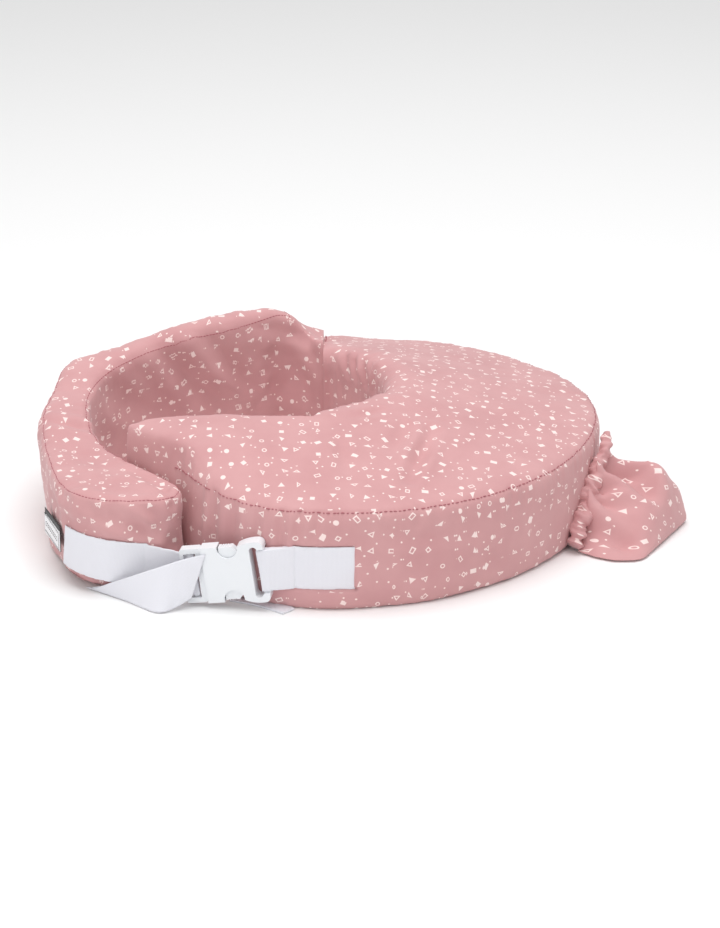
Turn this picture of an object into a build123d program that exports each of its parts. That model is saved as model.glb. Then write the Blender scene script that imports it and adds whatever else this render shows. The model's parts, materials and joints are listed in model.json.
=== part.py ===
"""Wrap-around nursing pillow: a firm foam table with a waist hole, a hinged backrest and a buckled strap.

Plan axes while modelling: +X is the wearer's front, +Y the wearer's left, +Z up, with the floor at Z = 0.
All finished pieces are shifted together at the end, so that the origin is the middle of the footprint.
"""

import math
import os

from build123d import *

os.makedirs("parts", exist_ok=True)

# ---------------------------------------------------------------- driving dimensions, millimetres
# pillow outline
front_x = 250.0  # front edge of the table
back_x = -266.0  # rearmost face of the backrest
near_y = -192.0  # outer face on the wearer's right
far_y = 262.0  # outer face on the wearer's left
hinge_x = -8.0  # line where the backrest folds away from the far arm
# waist opening
waist_front_x = 50.0
waist_near_y = -64.0
waist_far_y = 162.0
# heights
seam_height = 92.0  # outer band of the table, and the backrest's near end
crown_height = 126.0  # top of the table beside the waist
crown_slope = 0.22  # fall of the crown towards the outer seam, mm per mm
crown_radius = 238.0  # where the crown meets the seam height
back_slope_y = 0.155  # the backrest climbs from its near end to its peak
back_slope_x = 0.0725
peak_slope = 0.9  # fall from the peak towards the hinge
# backrest
back_thickness = 39.0  # between the seams along its top
backrest_lean = 19.0  # degrees, rear face against the vertical
# cloth and foam
cloth = 1.0
ease = 0.2  # loose fit between foam and cloth, and between panels
arm_gap = 3.0  # between the arm's end and the backrest's end block
hinge_gap = 0.4  # between the two foams at the fold line
# webbing and side-release buckle
webbing_width = 40.0
webbing_thickness = 1.4
strap_centre_z = 40.0  # on the table's band
strap_low_z = 27.0  # at the male end, which hangs lower
buckle_height = 52.0
buckle_thickness = 13.0
buckle_wall = 2.0
female_length = 51.0
adjuster_length = 19.0
horn_height = 57.0
latch_clearance = 0.8
squeeze_clearance = 0.4
shell_gap = 2.86  # from the band to the receiving half, measured at its bar
# pocket
pocket_reach = 84.0
pocket_depth = 92.0
pocket_height = 74.0
hem_diameter = 13.0
hem_flattening = 0.8  # pressed thinner towards the band
binding_thickness = 0.8
seat_gap = 0.3  # between soft pieces that rest on each other
pouch_wall = 1.6
# cover zip on the back
zip_length = 150.0
zip_height = 62.0
tape_width = 11.0
coil_width = 4.4
coil_height = 1.8

# ---------------------------------------------------------------- worked-out values
skin = cloth + ease
long_x = front_x - hinge_x
near_arm_x = hinge_x - 124.0
arm_tip = (back_x + 80.0, waist_near_y + 6.0)
arm_corner = (near_arm_x, near_y + 72.0)
gap_direction = Vector(arm_corner[0] - arm_tip[0], arm_corner[1] - arm_tip[1]).normalized()
gap_normal = Vector(gap_direction.Y, -gap_direction.X)  # from the arm towards the end block
tall = 260.0  # more than any height

finished = {}


def finish(name, piece):
    """Label a piece and keep it for export."""
    piece.label = name
    finished[name] = piece


def arc_chain(start, through, *stops):
    """A smooth run of arcs: the first goes through a point, and each later one follows on in line."""
    with BuildLine() as chain:
        edge = ThreePointArc(start, through, stops[0])
        for stop in stops[1:]:
            edge = TangentArc(edge @ 1, stop, tangent=edge % 1)
    return chain.line


def closed_plan(*runs):
    """A sketch bounded by the given runs, with straight lines across any gaps between them."""
    runs = [run if isinstance(run, Edge) else Wire(run.edges()) for run in runs]
    with BuildSketch() as plan:
        with BuildLine():
            for run, following in zip(runs, runs[1:] + runs[:1]):
                add(run)
                if (run @ 1 - following @ 0).length > 0.01:
                    Line(run @ 1, following @ 0)
        make_face()
    return plan.sketch


def inset_plan(plan, inset):
    """The plan drawn in by the inset, or let out when the inset is negative."""
    if not inset:
        return plan
    with BuildSketch() as drawn:
        add(plan)
        offset(amount=-inset, kind=Kind.ARC if inset < 0 else Kind.INTERSECTION)
    return drawn.sketch


def table_plan(inset=0.0):
    """Plan of the table: an open ring whose near arm ends at the gap and whose far arm ends at the hinge."""
    face_x = hinge_x + hinge_gap / 2
    middle_y = (near_y + far_y) / 2
    waist_middle_y = (waist_near_y + waist_far_y) / 2
    outer = arc_chain(
        (face_x, far_y),
        (hinge_x + 0.44 * long_x, far_y - 14),
        (hinge_x + 0.82 * long_x, far_y - 80),
        (front_x, middle_y + 20),
        (hinge_x + 0.88 * long_x, near_y + 132),
        (hinge_x + 0.46 * long_x, near_y + 26),
        (hinge_x + 8, near_y),
        arm_corner,
    )
    waist = arc_chain(
        (hinge_x - 52, waist_near_y),
        (waist_front_x - 22, waist_near_y + 49),
        (waist_front_x, waist_middle_y + 6),
        (face_x, waist_far_y),
    )
    arm_rim = Line(arm_tip, (hinge_x - 52, waist_near_y))
    return inset_plan(closed_plan(outer, arm_rim, waist), inset)


def backrest_lines():
    """Outer and inner outlines of the backrest, each from one end to the other."""
    face_x = hinge_x - hinge_gap / 2
    lap = gap_normal * arm_gap
    inner_tip = (arm_tip[0] + lap.X - 1, arm_tip[1] + lap.Y + 1)
    lap_end = (arm_corner[0] + lap.X, arm_corner[1] + lap.Y)
    side_x = back_x + back_thickness
    outer = arc_chain(
        (face_x, far_y),
        (hinge_x - 112, far_y - 20),
        (back_x + 52, far_y - 90),
        (back_x, (near_y + far_y) / 2 - 20),
        (back_x + 26, near_y + 71),
        (back_x + 86, near_y + 28),
        (near_arm_x - 18, near_y + 30),
        lap_end,
    )
    inner = arc_chain(
        inner_tip,
        (side_x + 7, -5),
        (side_x, 42),
        (side_x + 30, waist_far_y - 52),
        (hinge_x - 110, waist_far_y - 6),
        (hinge_x - 50, waist_far_y + 22),
        (face_x, waist_far_y),
    )
    return outer, inner


def backrest_plan(inset=0.0):
    """Plan of the backrest: a crescent from the hinge round the wearer's back to the end block."""
    return inset_plan(closed_plan(*backrest_lines()), inset)


def prism(sketch, low, high):
    """A plan carried up from one height to another."""
    with BuildPart() as body:
        with BuildSketch(Plane.XY.offset(low)):
            add(sketch)
        extrude(amount=high - low)
    return body.part


def under_crown(drop=0.0):
    """Everything below the table's crowned top, lowered by the given drop."""
    knee = crown_radius - (crown_height - seam_height) / crown_slope
    outer = crown_radius + 90
    with BuildPart() as bowl:
        with BuildSketch(Plane.XZ):
            with BuildLine():
                Polyline(
                    (0, -10),
                    (outer, -10),
                    (outer, seam_height - crown_slope * (outer - crown_radius) - drop),
                    (knee, crown_height - drop),
                    (0, crown_height - drop),
                    (0, -10),
                )
            make_face()
        revolve(axis=Axis.Z)
    return bowl.part.moved(Location((hinge_x + 3, 0.5 * (waist_near_y + waist_far_y) - 4, 0)))


def half_space(plane):
    """A large block on the underside of a plane."""
    with BuildPart() as block:
        with BuildSketch(plane):
            Rectangle(1600, 1600)
        extrude(amount=-1200)
    return block.part


def plane_by_slopes(x, y, z, slope_x, slope_y):
    """Plane through a point that climbs by the given slopes along X and Y."""
    return Plane(origin=(x, y, z), x_dir=(1, 0, slope_x), z_dir=(-slope_x, -slope_y, 1))


# rear face of the backrest: a flat facet that leans towards the waist
facet_start = Vector(back_x + 19, far_y - 148, 0)
facet_end = Vector(hinge_x - 59, far_y - 61, 0)
facet_along = (facet_end - facet_start).normalized()
facet_out = Vector(-facet_along.Y, facet_along.X, 0)
facet_mid_z = 118.0
lean = math.radians(backrest_lean)
facet_normal = facet_out * math.cos(lean) + Vector(0, 0, math.sin(lean))
facet_origin = (facet_start + facet_end) * 0.5 + Vector(0, 0, facet_mid_z + 15)


def backrest_body(inset=0.0, drop=0.0, low=None):
    """The backrest's outer form, drawn in by an inset, with its top lowered by a drop."""
    climb = plane_by_slopes(
        back_x + 61, far_y - 118, seam_height + 32 - drop, back_slope_x, back_slope_y
    )
    fall = plane_by_slopes(hinge_x - 2, waist_far_y, seam_height + 37 - drop, -peak_slope, -0.35)
    rear = Plane(
        origin=facet_origin - facet_normal * inset,
        x_dir=facet_along,
        z_dir=facet_normal,
    )
    body = prism(backrest_plan(inset), inset if low is None else low, tall)
    flat = half_space(Plane.XY.offset(seam_height - drop))
    top = flat + (half_space(climb) & half_space(fall))
    return body & top & half_space(rear)


def strip_on(plan, near, far, zone):
    """A strip that follows an outline, between two distances outside it, cut to a zone."""
    return (prism(plan(-far), 0, tall) - prism(plan(-near), 0, tall)) & zone


def point_on(line, x):
    """The point on the wearer's right side of an outline at a given X."""
    samples = [line @ (step / 800) for step in range(801)]
    return min((point for point in samples if point.Y < 0), key=lambda point: abs(point.X - x))


# ---------------------------------------------------------------- table: foam and cover panels
with BuildPart() as foam_table:
    add(prism(table_plan(skin), skin, tall))
    add(under_crown(skin), mode=Mode.INTERSECT)
finish("foam_table", foam_table.part)

with BuildPart() as table_top_panel:
    add(prism(table_plan(), seam_height / 2, tall))
    add(under_crown(), mode=Mode.INTERSECT)
    add(under_crown(cloth), mode=Mode.SUBTRACT)
finish("table_top_panel", table_top_panel.part)

with BuildPart() as table_bottom_panel:
    add(prism(table_plan(), 0, cloth))
finish("table_bottom_panel", table_bottom_panel.part)

with BuildPart() as table_wall:
    add(prism(table_plan(), skin, tall))
    add(prism(table_plan(cloth), 0, tall), mode=Mode.SUBTRACT)
    add(under_crown(skin), mode=Mode.INTERSECT)

# the wall is cut into strips of cloth, sewn at the fold line and at the two edges of the arm's end
arm_mid = (Vector(*arm_tip) + Vector(*arm_corner)) * 0.5
arm_end_length = (Vector(*arm_corner) - Vector(*arm_tip)).length
waist_zone_x = (arm_tip[0] + 2, waist_front_x + 2 * cloth)
waist_zone = Pos(sum(waist_zone_x) / 2, (waist_near_y + waist_far_y) / 2, 0) * Box(
    waist_zone_x[1] - waist_zone_x[0], waist_far_y - waist_near_y + 3, 2 * tall
)
arm_zone = Plane(origin=arm_mid, x_dir=gap_direction, z_dir=(0, 0, 1)).location * Box(
    arm_end_length + 1.5, 4 * cloth, 2 * tall
)
hinge_zone = Pos(hinge_x, (far_y + waist_far_y) / 2 - 1.5 * cloth, 0) * Box(
    2 * cloth + hinge_gap + 0.1, far_y - waist_far_y - cloth, 2 * tall
)


def cut_panels(wall, zones, rest_name):
    """Cut a wall into one panel for each zone, and one for what is left."""
    for panel_name, zone in zones.items():
        finish(panel_name, wall & zone)
        wall = wall - zone
    finish(rest_name, wall)


cut_panels(
    table_wall.part,
    {"arm_end_panel": arm_zone, "far_arm_end_panel": hinge_zone, "waist_band": waist_zone},
    "table_outer_band",
)

fold_width = 14.0
fold_zone = Pos(hinge_x + hinge_gap / 2 + ease + fold_width / 2, far_y, seam_height / 2) * Box(
    fold_width, 40, seam_height - 14
)
finish("fold_strip", strip_on(table_plan, ease, ease + cloth, fold_zone))

# ---------------------------------------------------------------- backrest: foam and cover panels
finish("foam_backrest", backrest_body(skin, skin))
finish("backrest_top_panel", backrest_body(low=skin) - backrest_body(-1, cloth, low=0))
finish("backrest_bottom_panel", backrest_body(low=0) - prism(backrest_plan(-5), cloth, tall))

backrest_wall = backrest_body(0, skin, low=skin) - backrest_body(cloth, -20, low=0)
outer_line, inner_line = backrest_lines()
lap_zone = Plane(
    origin=arm_mid + gap_normal * arm_gap, x_dir=gap_direction, z_dir=(0, 0, 1)
).location * Box(arm_end_length + 6, 4 * cloth, 2 * tall)
waist_void = inset_plan(closed_plan(inner_line), -1.5 * cloth)
cut_panels(
    backrest_wall,
    {
        "lap_panel": lap_zone,
        "backrest_hinge_panel": hinge_zone,
        "backrest_inner_panel": prism(waist_void, 0, tall),
    },
    "backrest_outer_panel",
)

# ---------------------------------------------------------------- side-release buckle
table_outline = Wire(table_plan().edges().filter_by(lambda edge: (edge @ 0.5).Y < near_y + 80))
bar_x = hinge_x - 49
bar_y = point_on(table_outline, bar_x).Y - buckle_thickness / 2 - shell_gap
bar = Vector(bar_x, bar_y, strap_centre_z - 2)
male_end = Vector(bar.X - 67, bar.Y + 10.5, strap_low_z + 1.5)
buckle_dir = (bar - male_end).normalized()
buckle_out = Vector(buckle_dir.Y, -buckle_dir.X, 0).normalized()
buckle_plane = Plane(origin=bar, x_dir=buckle_dir, z_dir=buckle_out)
mouth_x = -female_length
shell_half = buckle_thickness / 2
side_half = buckle_height / 2 - buckle_wall  # half of the cavity, across the strap
cavity_half = shell_half - buckle_wall
window = (mouth_x + 15.0, mouth_x + 33.0)
bar_radius = 2.3
half_web = webbing_width / 2


def slab(plane, low, high, centre_x, centre_y, size_x, size_y):
    """A rectangular block between two distances along a plane's normal."""
    with BuildPart() as block:
        with BuildSketch(plane.offset(low)):
            with Locations((centre_x, centre_y)):
                Rectangle(size_x, size_y)
        extrude(amount=high - low)
    return block.part


with BuildPart() as buckle_female:
    with BuildSketch(buckle_plane.offset(-shell_half)):
        with BuildLine():
            Polyline((mouth_x, 0), (mouth_x, buckle_height / 2), (window[0], buckle_height / 2))
            ThreePointArc(
                (window[0], buckle_height / 2),
                ((window[0] + window[1]) / 2, buckle_height / 2 - 11),
                (window[1], buckle_height / 2 - 1),
            )
            ThreePointArc(
                (window[1], buckle_height / 2 - 1),
                (-8, horn_height / 2 - 0.3),
                (0, horn_height / 2),
            )
            ThreePointArc((0, horn_height / 2), (4, horn_height / 2 - 2), (5, horn_height / 2 - 6))
            Line((5, horn_height / 2 - 6), (5, 0))
            mirror(about=Plane.XZ)
        make_face()
    extrude(amount=buckle_thickness)
    with BuildSketch(buckle_plane.offset(-shell_half)):
        with Locations((-4.2, 0)):
            SlotOverall(webbing_width + 7.5, 7, rotation=90)
    extrude(amount=buckle_thickness, mode=Mode.SUBTRACT)
    add(slab(buckle_plane, bar_radius, shell_half + 1, 3, 0, 14, webbing_width + 2), mode=Mode.SUBTRACT)
    add(slab(buckle_plane, -shell_half - 1, -bar_radius, 3, 0, 14, webbing_width + 2), mode=Mode.SUBTRACT)
    add(
        slab(
            buckle_plane,
            -cavity_half,
            cavity_half,
            (mouth_x - 1 + window[1] + 2) / 2,
            0,
            window[1] + 2 - mouth_x + 1,
            2 * side_half,
        ),
        mode=Mode.SUBTRACT,
    )
finish("buckle_female", buckle_female.part)

adjuster_x = mouth_x - 0.4 - adjuster_length
frame_half = 4.6
slot_width = webbing_width + 1.5
slider_x = (adjuster_x + 7.0, adjuster_x + 10.4)
slider_n = (-0.6, 1.3)
root_plate = 5.0
tongue_end = window[1] - 4
with BuildPart() as buckle_male:
    with BuildSketch(buckle_plane.offset(-frame_half)):
        with Locations((adjuster_x + adjuster_length / 2, 0)):
            RectangleRounded(adjuster_length, buckle_height - 1, 2.5)
    extrude(amount=2 * frame_half)
    open_length = adjuster_length - root_plate
    add(
        slab(buckle_plane, -10, 10, adjuster_x + open_length / 2 - 1, 0, open_length + 2, slot_width),
        mode=Mode.SUBTRACT,
    )
    # front lip over both layers, and the slider bar that the webbing folds round
    add(slab(buckle_plane, 1.4, frame_half, adjuster_x + 1.7, 0, 3.4, slot_width))
    slider_width = slider_x[1] - slider_x[0]
    add(slab(buckle_plane, *slider_n, slider_x[0] + slider_width / 2, 0, slider_width, slot_width))
    # guide tongue between the two prongs
    tongue_length = tongue_end - mouth_x + 0.6
    tongue_half = cavity_half - 0.4
    add(slab(buckle_plane, -tongue_half, tongue_half, tongue_end - tongue_length / 2, 0, tongue_length, 7))
finish("buckle_male", buckle_male.part)

prong_root = (mouth_x + squeeze_clearance, side_half - 6.5)
barb_start = window[0] + latch_clearance
barb_outer = buckle_height / 2 - 1.2


def prong(side):
    """One spring arm with its barb and ribbed push face; side is 1 for the upper and -1 for the lower."""
    neck = prong_root[1]
    with BuildPart() as arm:
        with BuildSketch(buckle_plane.offset(-tongue_half)):
            with BuildLine():
                Polyline(
                    (prong_root[0], side * (neck - 2.2)),
                    (prong_root[0], side * (neck + 2.2)),
                    (barb_start, side * (neck + 2.2)),
                    (barb_start, side * barb_outer),
                    (window[1] - 5, side * barb_outer),
                    (window[1] + 0.5, side * (neck + 1)),
                    (window[1] + 0.5, side * (neck - 3)),
                    (barb_start, side * (neck - 2.2)),
                    close=True,
                )
            make_face()
        extrude(amount=2 * tongue_half)
        with BuildSketch(buckle_plane.offset(-cavity_half)):
            for rib in range(4):
                with Locations((barb_start + 2.6 + 2.2 * rib, side * barb_outer)):
                    Rectangle(0.9, 1.2)
        extrude(amount=2 * cavity_half, mode=Mode.SUBTRACT)
    return arm.part


finish("prong_upper", prong(1))
finish("prong_lower", prong(-1))

# ---------------------------------------------------------------- webbing
short_end_x = hinge_x + 32.0
short_start_x = hinge_x - 22.0
sewn_zone = Pos((short_end_x + short_start_x) / 2, near_y, strap_centre_z) * Box(
    short_end_x - short_start_x, 60, webbing_width
)
short_sewn = strip_on(table_plan, ease, ease + webbing_thickness, sewn_zone)
loop_outer = bar_radius + ease + webbing_thickness
loop_left = -0.7 - ease - webbing_thickness
wedge_foot = point_on(table_outline, short_start_x + 1)


def upright(origin, direction):
    """A plane across a run of webbing: its X points outwards and its Y up."""
    outwards = Vector(direction.Y, -direction.X, 0).normalized()
    return Plane(origin=origin, x_dir=outwards, z_dir=direction)


with BuildPart() as short_wedge:
    with BuildSketch(upright(buckle_plane.from_local_coords((5.2, 0, 0)), buckle_dir)):
        Rectangle(2 * loop_outer, webbing_width - 1)
    foot = Vector(wedge_foot.X, wedge_foot.Y, strap_centre_z) + buckle_out * (ease + webbing_thickness)
    with BuildSketch(upright(foot, Vector(buckle_dir.X, buckle_dir.Y, 0))):
        Rectangle(2 * webbing_thickness, webbing_width)
    loft(ruled=True)
loop_length = 5.2 - loop_left
short_loop = slab(
    buckle_plane, -loop_outer, loop_outer, 5.2 - loop_length / 2, 0, loop_length, webbing_width - 1
) - slab(
    buckle_plane,
    -bar_radius - ease,
    bar_radius + ease,
    loop_left + webbing_thickness + 5,
    0,
    10,
    webbing_width + 4,
)
short_over_foam = prism(table_plan(-ease), 0, tall)
finish("strap_short", short_sewn + short_loop + (short_wedge.part - short_over_foam))

long_start_x = back_x + 31.0
long_leave_x = near_arm_x - 28.0
long_zone_centre = Vector(
    (long_start_x + long_leave_x) / 2, near_y + 20, (strap_centre_z + strap_low_z) / 2 + 1
)
strap_droop = 5.0
long_zone = (
    Pos(long_zone_centre)
    * Rot(0, strap_droop, 0)
    * Box(long_leave_x - long_start_x, 120, webbing_width)
)
long_sewn = strip_on(backrest_plan, ease, ease + webbing_thickness, long_zone)
leave = point_on(Wire(outer_line.edges()), long_leave_x - 1)
wrap_x = (slider_x[0] - ease - webbing_thickness, slider_x[1] + ease + webbing_thickness)
wrap_n = (slider_n[0] - ease - webbing_thickness, slider_n[1] + ease + webbing_thickness)
run_end = buckle_plane.from_local_coords((wrap_x[0] + 0.5, 0, wrap_n[0] + webbing_thickness / 2))
leave_z = long_zone_centre.Z - math.tan(math.radians(strap_droop)) * (leave.X - long_zone_centre.X)
run_start = Vector(leave.X, leave.Y, leave_z) + buckle_out * (ease + webbing_thickness / 2)
run_direction = (run_end - run_start).normalized()
with BuildPart() as long_run:
    with BuildSketch(upright(run_start, run_direction)):
        Rectangle(webbing_thickness, webbing_width - 1.5)
    with BuildSketch(upright(run_end, buckle_dir)):
        Rectangle(webbing_thickness, webbing_width - 1.5)
    loft(ruled=True)
wrap_mid = (wrap_x[0] + wrap_x[1]) / 2
wrap = slab(
    buckle_plane, *wrap_n, wrap_mid, 0, wrap_x[1] - wrap_x[0], webbing_width - 0.6
) - slab(
    buckle_plane,
    slider_n[0] - ease,
    slider_n[1] + ease,
    wrap_mid,
    0,
    wrap_x[1] - wrap_x[0] - 2 * webbing_thickness,
    webbing_width + 4,
)
finish("strap_long", long_sewn + (long_run.part - prism(backrest_plan(-ease), 0, tall)) + wrap)

# free end of the webbing: it leaves the adjuster under the lip and folds down to the floor
tail_n = wrap_n[0] + webbing_thickness + 0.4
tail_origin = buckle_plane.from_local_coords((wrap_x[0] - 0.4, 0, tail_n))
tail_dir = Vector(buckle_dir.X, buckle_dir.Y, 0).normalized()
tail_plane = Plane(origin=tail_origin, x_dir=tail_dir, z_dir=buckle_out)
floor_y = -tail_origin.Z
fold_y = bar.Y - 1.5
with BuildPart() as strap_tail:
    with BuildSketch(tail_plane):
        with BuildLine():
            Polyline(
                (-3.2, half_web - 2),
                (0, -half_web + 2),
                (-12, 11 + floor_y),
                (-30, 0.6 + floor_y),
                (-48, 0.6 + floor_y),
                (-70, 4 + floor_y),
                (-90, 10 + floor_y),
                (-66, 21 + floor_y),
                close=True,
            )
        make_face()
    extrude(amount=webbing_thickness)
    with BuildSketch(Plane.XY.offset(0.3)):
        with BuildLine():
            Polyline(
                (near_arm_x - 30, fold_y + 10),
                (near_arm_x - 14, fold_y + 22),
                (near_arm_x + 40, fold_y + 12),
                (hinge_x - 20, fold_y - 3),
                (hinge_x - 29, fold_y - 13),
                (near_arm_x + 38, fold_y - 5),
                close=True,
            )
        make_face()
    extrude(amount=webbing_thickness)
finish("strap_tail", strap_tail.part)

# ---------------------------------------------------------------- woven label by the strap's sewn end
label_zone = Pos(long_start_x - 16, near_y + 80, strap_centre_z + 3) * Box(30, 30, 26)
finish("label_backing", strip_on(backrest_plan, ease, ease + 0.5, label_zone))
finish("label_face", strip_on(backrest_plan, ease + 0.7, ease + 1.2, label_zone))

# ---------------------------------------------------------------- pocket on the front right of the band
pocket_low = Vector(front_x - 30, near_y + 124, 10)
pocket_high = Vector(front_x + 8, near_y + 204, seam_height - 8)
hem_dir = (pocket_high - pocket_low).normalized()
root_dir = Vector(hem_dir.X, hem_dir.Y, 0).normalized()
root_out = Vector(root_dir.Y, -root_dir.X, 0)
hem_radius = hem_diameter / 2
binding_zone = Plane(
    origin=(pocket_low + pocket_high) * 0.5, x_dir=hem_dir, z_dir=root_out
).location * Box((pocket_high - pocket_low).length, 7, 60)
finish("pocket_binding", strip_on(table_plan, ease, ease + binding_thickness, binding_zone))

# the hem rests on the binding at the place where the band bulges most
probe_reach = 30.0
with BuildLine() as hem_probe:
    Line(
        (pocket_low.X + root_out.X * probe_reach, pocket_low.Y + root_out.Y * probe_reach),
        (pocket_high.X + root_out.X * probe_reach, pocket_high.Y + root_out.Y * probe_reach),
    )
band_bulge = probe_reach - table_plan().distance_to(hem_probe.line)
hem_offset = band_bulge + ease + binding_thickness + seat_gap + hem_radius * hem_flattening
hem_centre = (pocket_low + pocket_high) * 0.5 + root_out * hem_offset
hem_length = (pocket_high - pocket_low).length - 2
hem_plane = Plane(origin=hem_centre - hem_dir * (hem_length / 2), x_dir=root_out, z_dir=hem_dir)
with BuildPart() as pocket_hem:
    with BuildSketch(hem_plane):
        Ellipse(hem_radius * hem_flattening, hem_radius)
    extrude(amount=hem_length)
    with BuildSketch(hem_plane):
        Circle(hem_radius * 0.42)
    extrude(amount=hem_length, mode=Mode.SUBTRACT)
finish("pocket_hem", pocket_hem.part)

with BuildPart() as hem_elastic:
    with BuildSketch(hem_plane):
        Rectangle(1.0, hem_radius * 0.7)
    extrude(amount=hem_length)
finish("hem_elastic", hem_elastic.part)

root_length = pocket_depth
root_mid = Vector(hem_centre.X, hem_centre.Y, 0) + root_out * (hem_radius * hem_flattening + 2 * seat_gap)
pouch_frame = Plane(origin=root_mid, x_dir=root_out, z_dir=(0, 0, 1))


def pouch_solid(inset):
    """The pocket's bag, lying outwards from the hem and falling towards its outer end."""
    with BuildPart() as bag:
        with BuildSketch(pouch_frame):
            with BuildLine():
                edge = Polyline(
                    (0, root_length / 2),
                    (0, -root_length / 2),
                    (pocket_reach * 0.32, -root_length / 2 - 6),
                    (pocket_reach * 0.8, -root_length * 0.36),
                )
                ThreePointArc(
                    edge @ 1,
                    (pocket_reach, root_length * 0.05),
                    (pocket_reach * 0.8, root_length * 0.42),
                )
                Line((pocket_reach * 0.8, root_length * 0.42), (0, root_length / 2))
            make_face()
            if inset:
                offset(amount=-inset, kind=Kind.INTERSECTION)
        extrude(amount=pocket_height)
    fall = Plane(
        origin=root_mid + Vector(0, 0, pocket_height - inset),
        x_dir=root_dir,
        z_dir=root_out * 0.48 + Vector(0, 0, 1),
    )
    return bag.part & half_space(fall)


mouth_slot = pouch_frame.location * Pos(7, 0, pocket_height / 2 + 10) * Box(
    8, root_length * 0.6, pocket_height
)
pouch_inside = pouch_solid(pouch_wall) & (
    pouch_frame.location * Pos(0, 0, pouch_wall + tall / 2) * Box(4 * tall, 4 * tall, tall)
)
finish("pocket_pouch", pouch_solid(0) - pouch_inside - mouth_slot)

# ---------------------------------------------------------------- zip on the rear facet
along_slope = facet_normal.cross(facet_along)
zip_origin = facet_origin + along_slope * ((zip_height - facet_origin.Z) / along_slope.Z)
zip_plane = Plane(origin=zip_origin + facet_normal * ease, x_dir=facet_along, z_dir=facet_normal)
tape_thickness = 0.6
stop_length = 3.0
slider_length = 10.0
finish(
    "zip_tapes",
    slab(zip_plane, 0, tape_thickness, 0, tape_width / 2 + 0.2, zip_length, tape_width)
    + slab(zip_plane, 0, tape_thickness, 0, -tape_width / 2 - 0.2, zip_length, tape_width),
)
coil_low = tape_thickness + 0.1
coil_top = coil_low + coil_height
coil_length = zip_length - 2 * stop_length - 2
finish(
    "zip_coil",
    slab(zip_plane, coil_low, coil_top, 0, coil_width / 4 + 0.05, coil_length, coil_width / 2)
    + slab(zip_plane, coil_low, coil_top, 0, -coil_width / 4 - 0.15, coil_length, coil_width / 2),
)
stop_centre = zip_length / 2 - stop_length / 2
for stop_name, stop_x in (("zip_bottom_stop", -stop_centre), ("zip_top_stop", stop_centre)):
    finish(stop_name, slab(zip_plane, coil_low, coil_low + 2.2, stop_x, 0, stop_length, coil_width + 1.4))

slider_travel = coil_length - slider_length - 4
slider_x0 = -coil_length / 2 + slider_length / 2 + 2
slider_top = coil_top + 1.6
channel = (coil_width + 0.9, coil_height + 0.5)
bridge_height = slider_top + 2.4


def zip_cross(side):
    """A plane across the zip at its slider, facing along the bridge bar."""
    return Plane(
        origin=zip_plane.from_local_coords((slider_x0, side, bridge_height)),
        x_dir=zip_plane.x_dir,
        z_dir=zip_plane.y_dir,
    )


with BuildPart() as zip_slider:
    add(slab(zip_plane, coil_low + 0.2, slider_top, slider_x0, 0, slider_length, 8.4))
    add(
        slab(zip_plane, 0, coil_low + channel[1], slider_x0, 0, slider_length + 2, channel[0]),
        mode=Mode.SUBTRACT,
    )
    for side in (-1, 1):
        add(slab(zip_plane, slider_top, bridge_height + 0.8, slider_x0, side * 3.1, 2.4, 1.2))
    with BuildSketch(zip_cross(-3.6)):
        Circle(0.6)
    extrude(amount=7.2)
finish("zip_slider", zip_slider.part)

with BuildPart() as zip_pull:
    add(slab(zip_plane, bridge_height - 0.6, bridge_height + 0.6, slider_x0 + 13, 0, 24, 4.6))
    with BuildSketch(zip_cross(-2.3)):
        Circle(1.7)
    extrude(amount=4.6)
    with BuildSketch(zip_cross(-2.6)):
        Circle(0.66)
    extrude(amount=5.2, mode=Mode.SUBTRACT)
finish("zip_pull", zip_pull.part)

# ---------------------------------------------------------------- shift to the middle of the footprint, and export
footprint = Compound(children=[Compound(piece.solids()) for piece in finished.values()]).bounding_box()
to_origin = Vector(-footprint.center().X, -footprint.center().Y, -footprint.min.Z)
for name, piece in finished.items():
    placed = piece.moved(Location(to_origin))
    placed.label = name
    export_step(placed, f"parts/{name}.step")
    print(name, len(placed.solids()), round(placed.volume), placed.is_valid)
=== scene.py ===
"""Looks of the wrap-around nursing pillow: printed cotton cover, webbing, buckle, label, pocket and zip."""

import json
import math

import bmesh
import bpy
import numpy as np
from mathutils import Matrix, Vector, kdtree, noise
from mathutils.bvhtree import BVHTree

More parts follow.
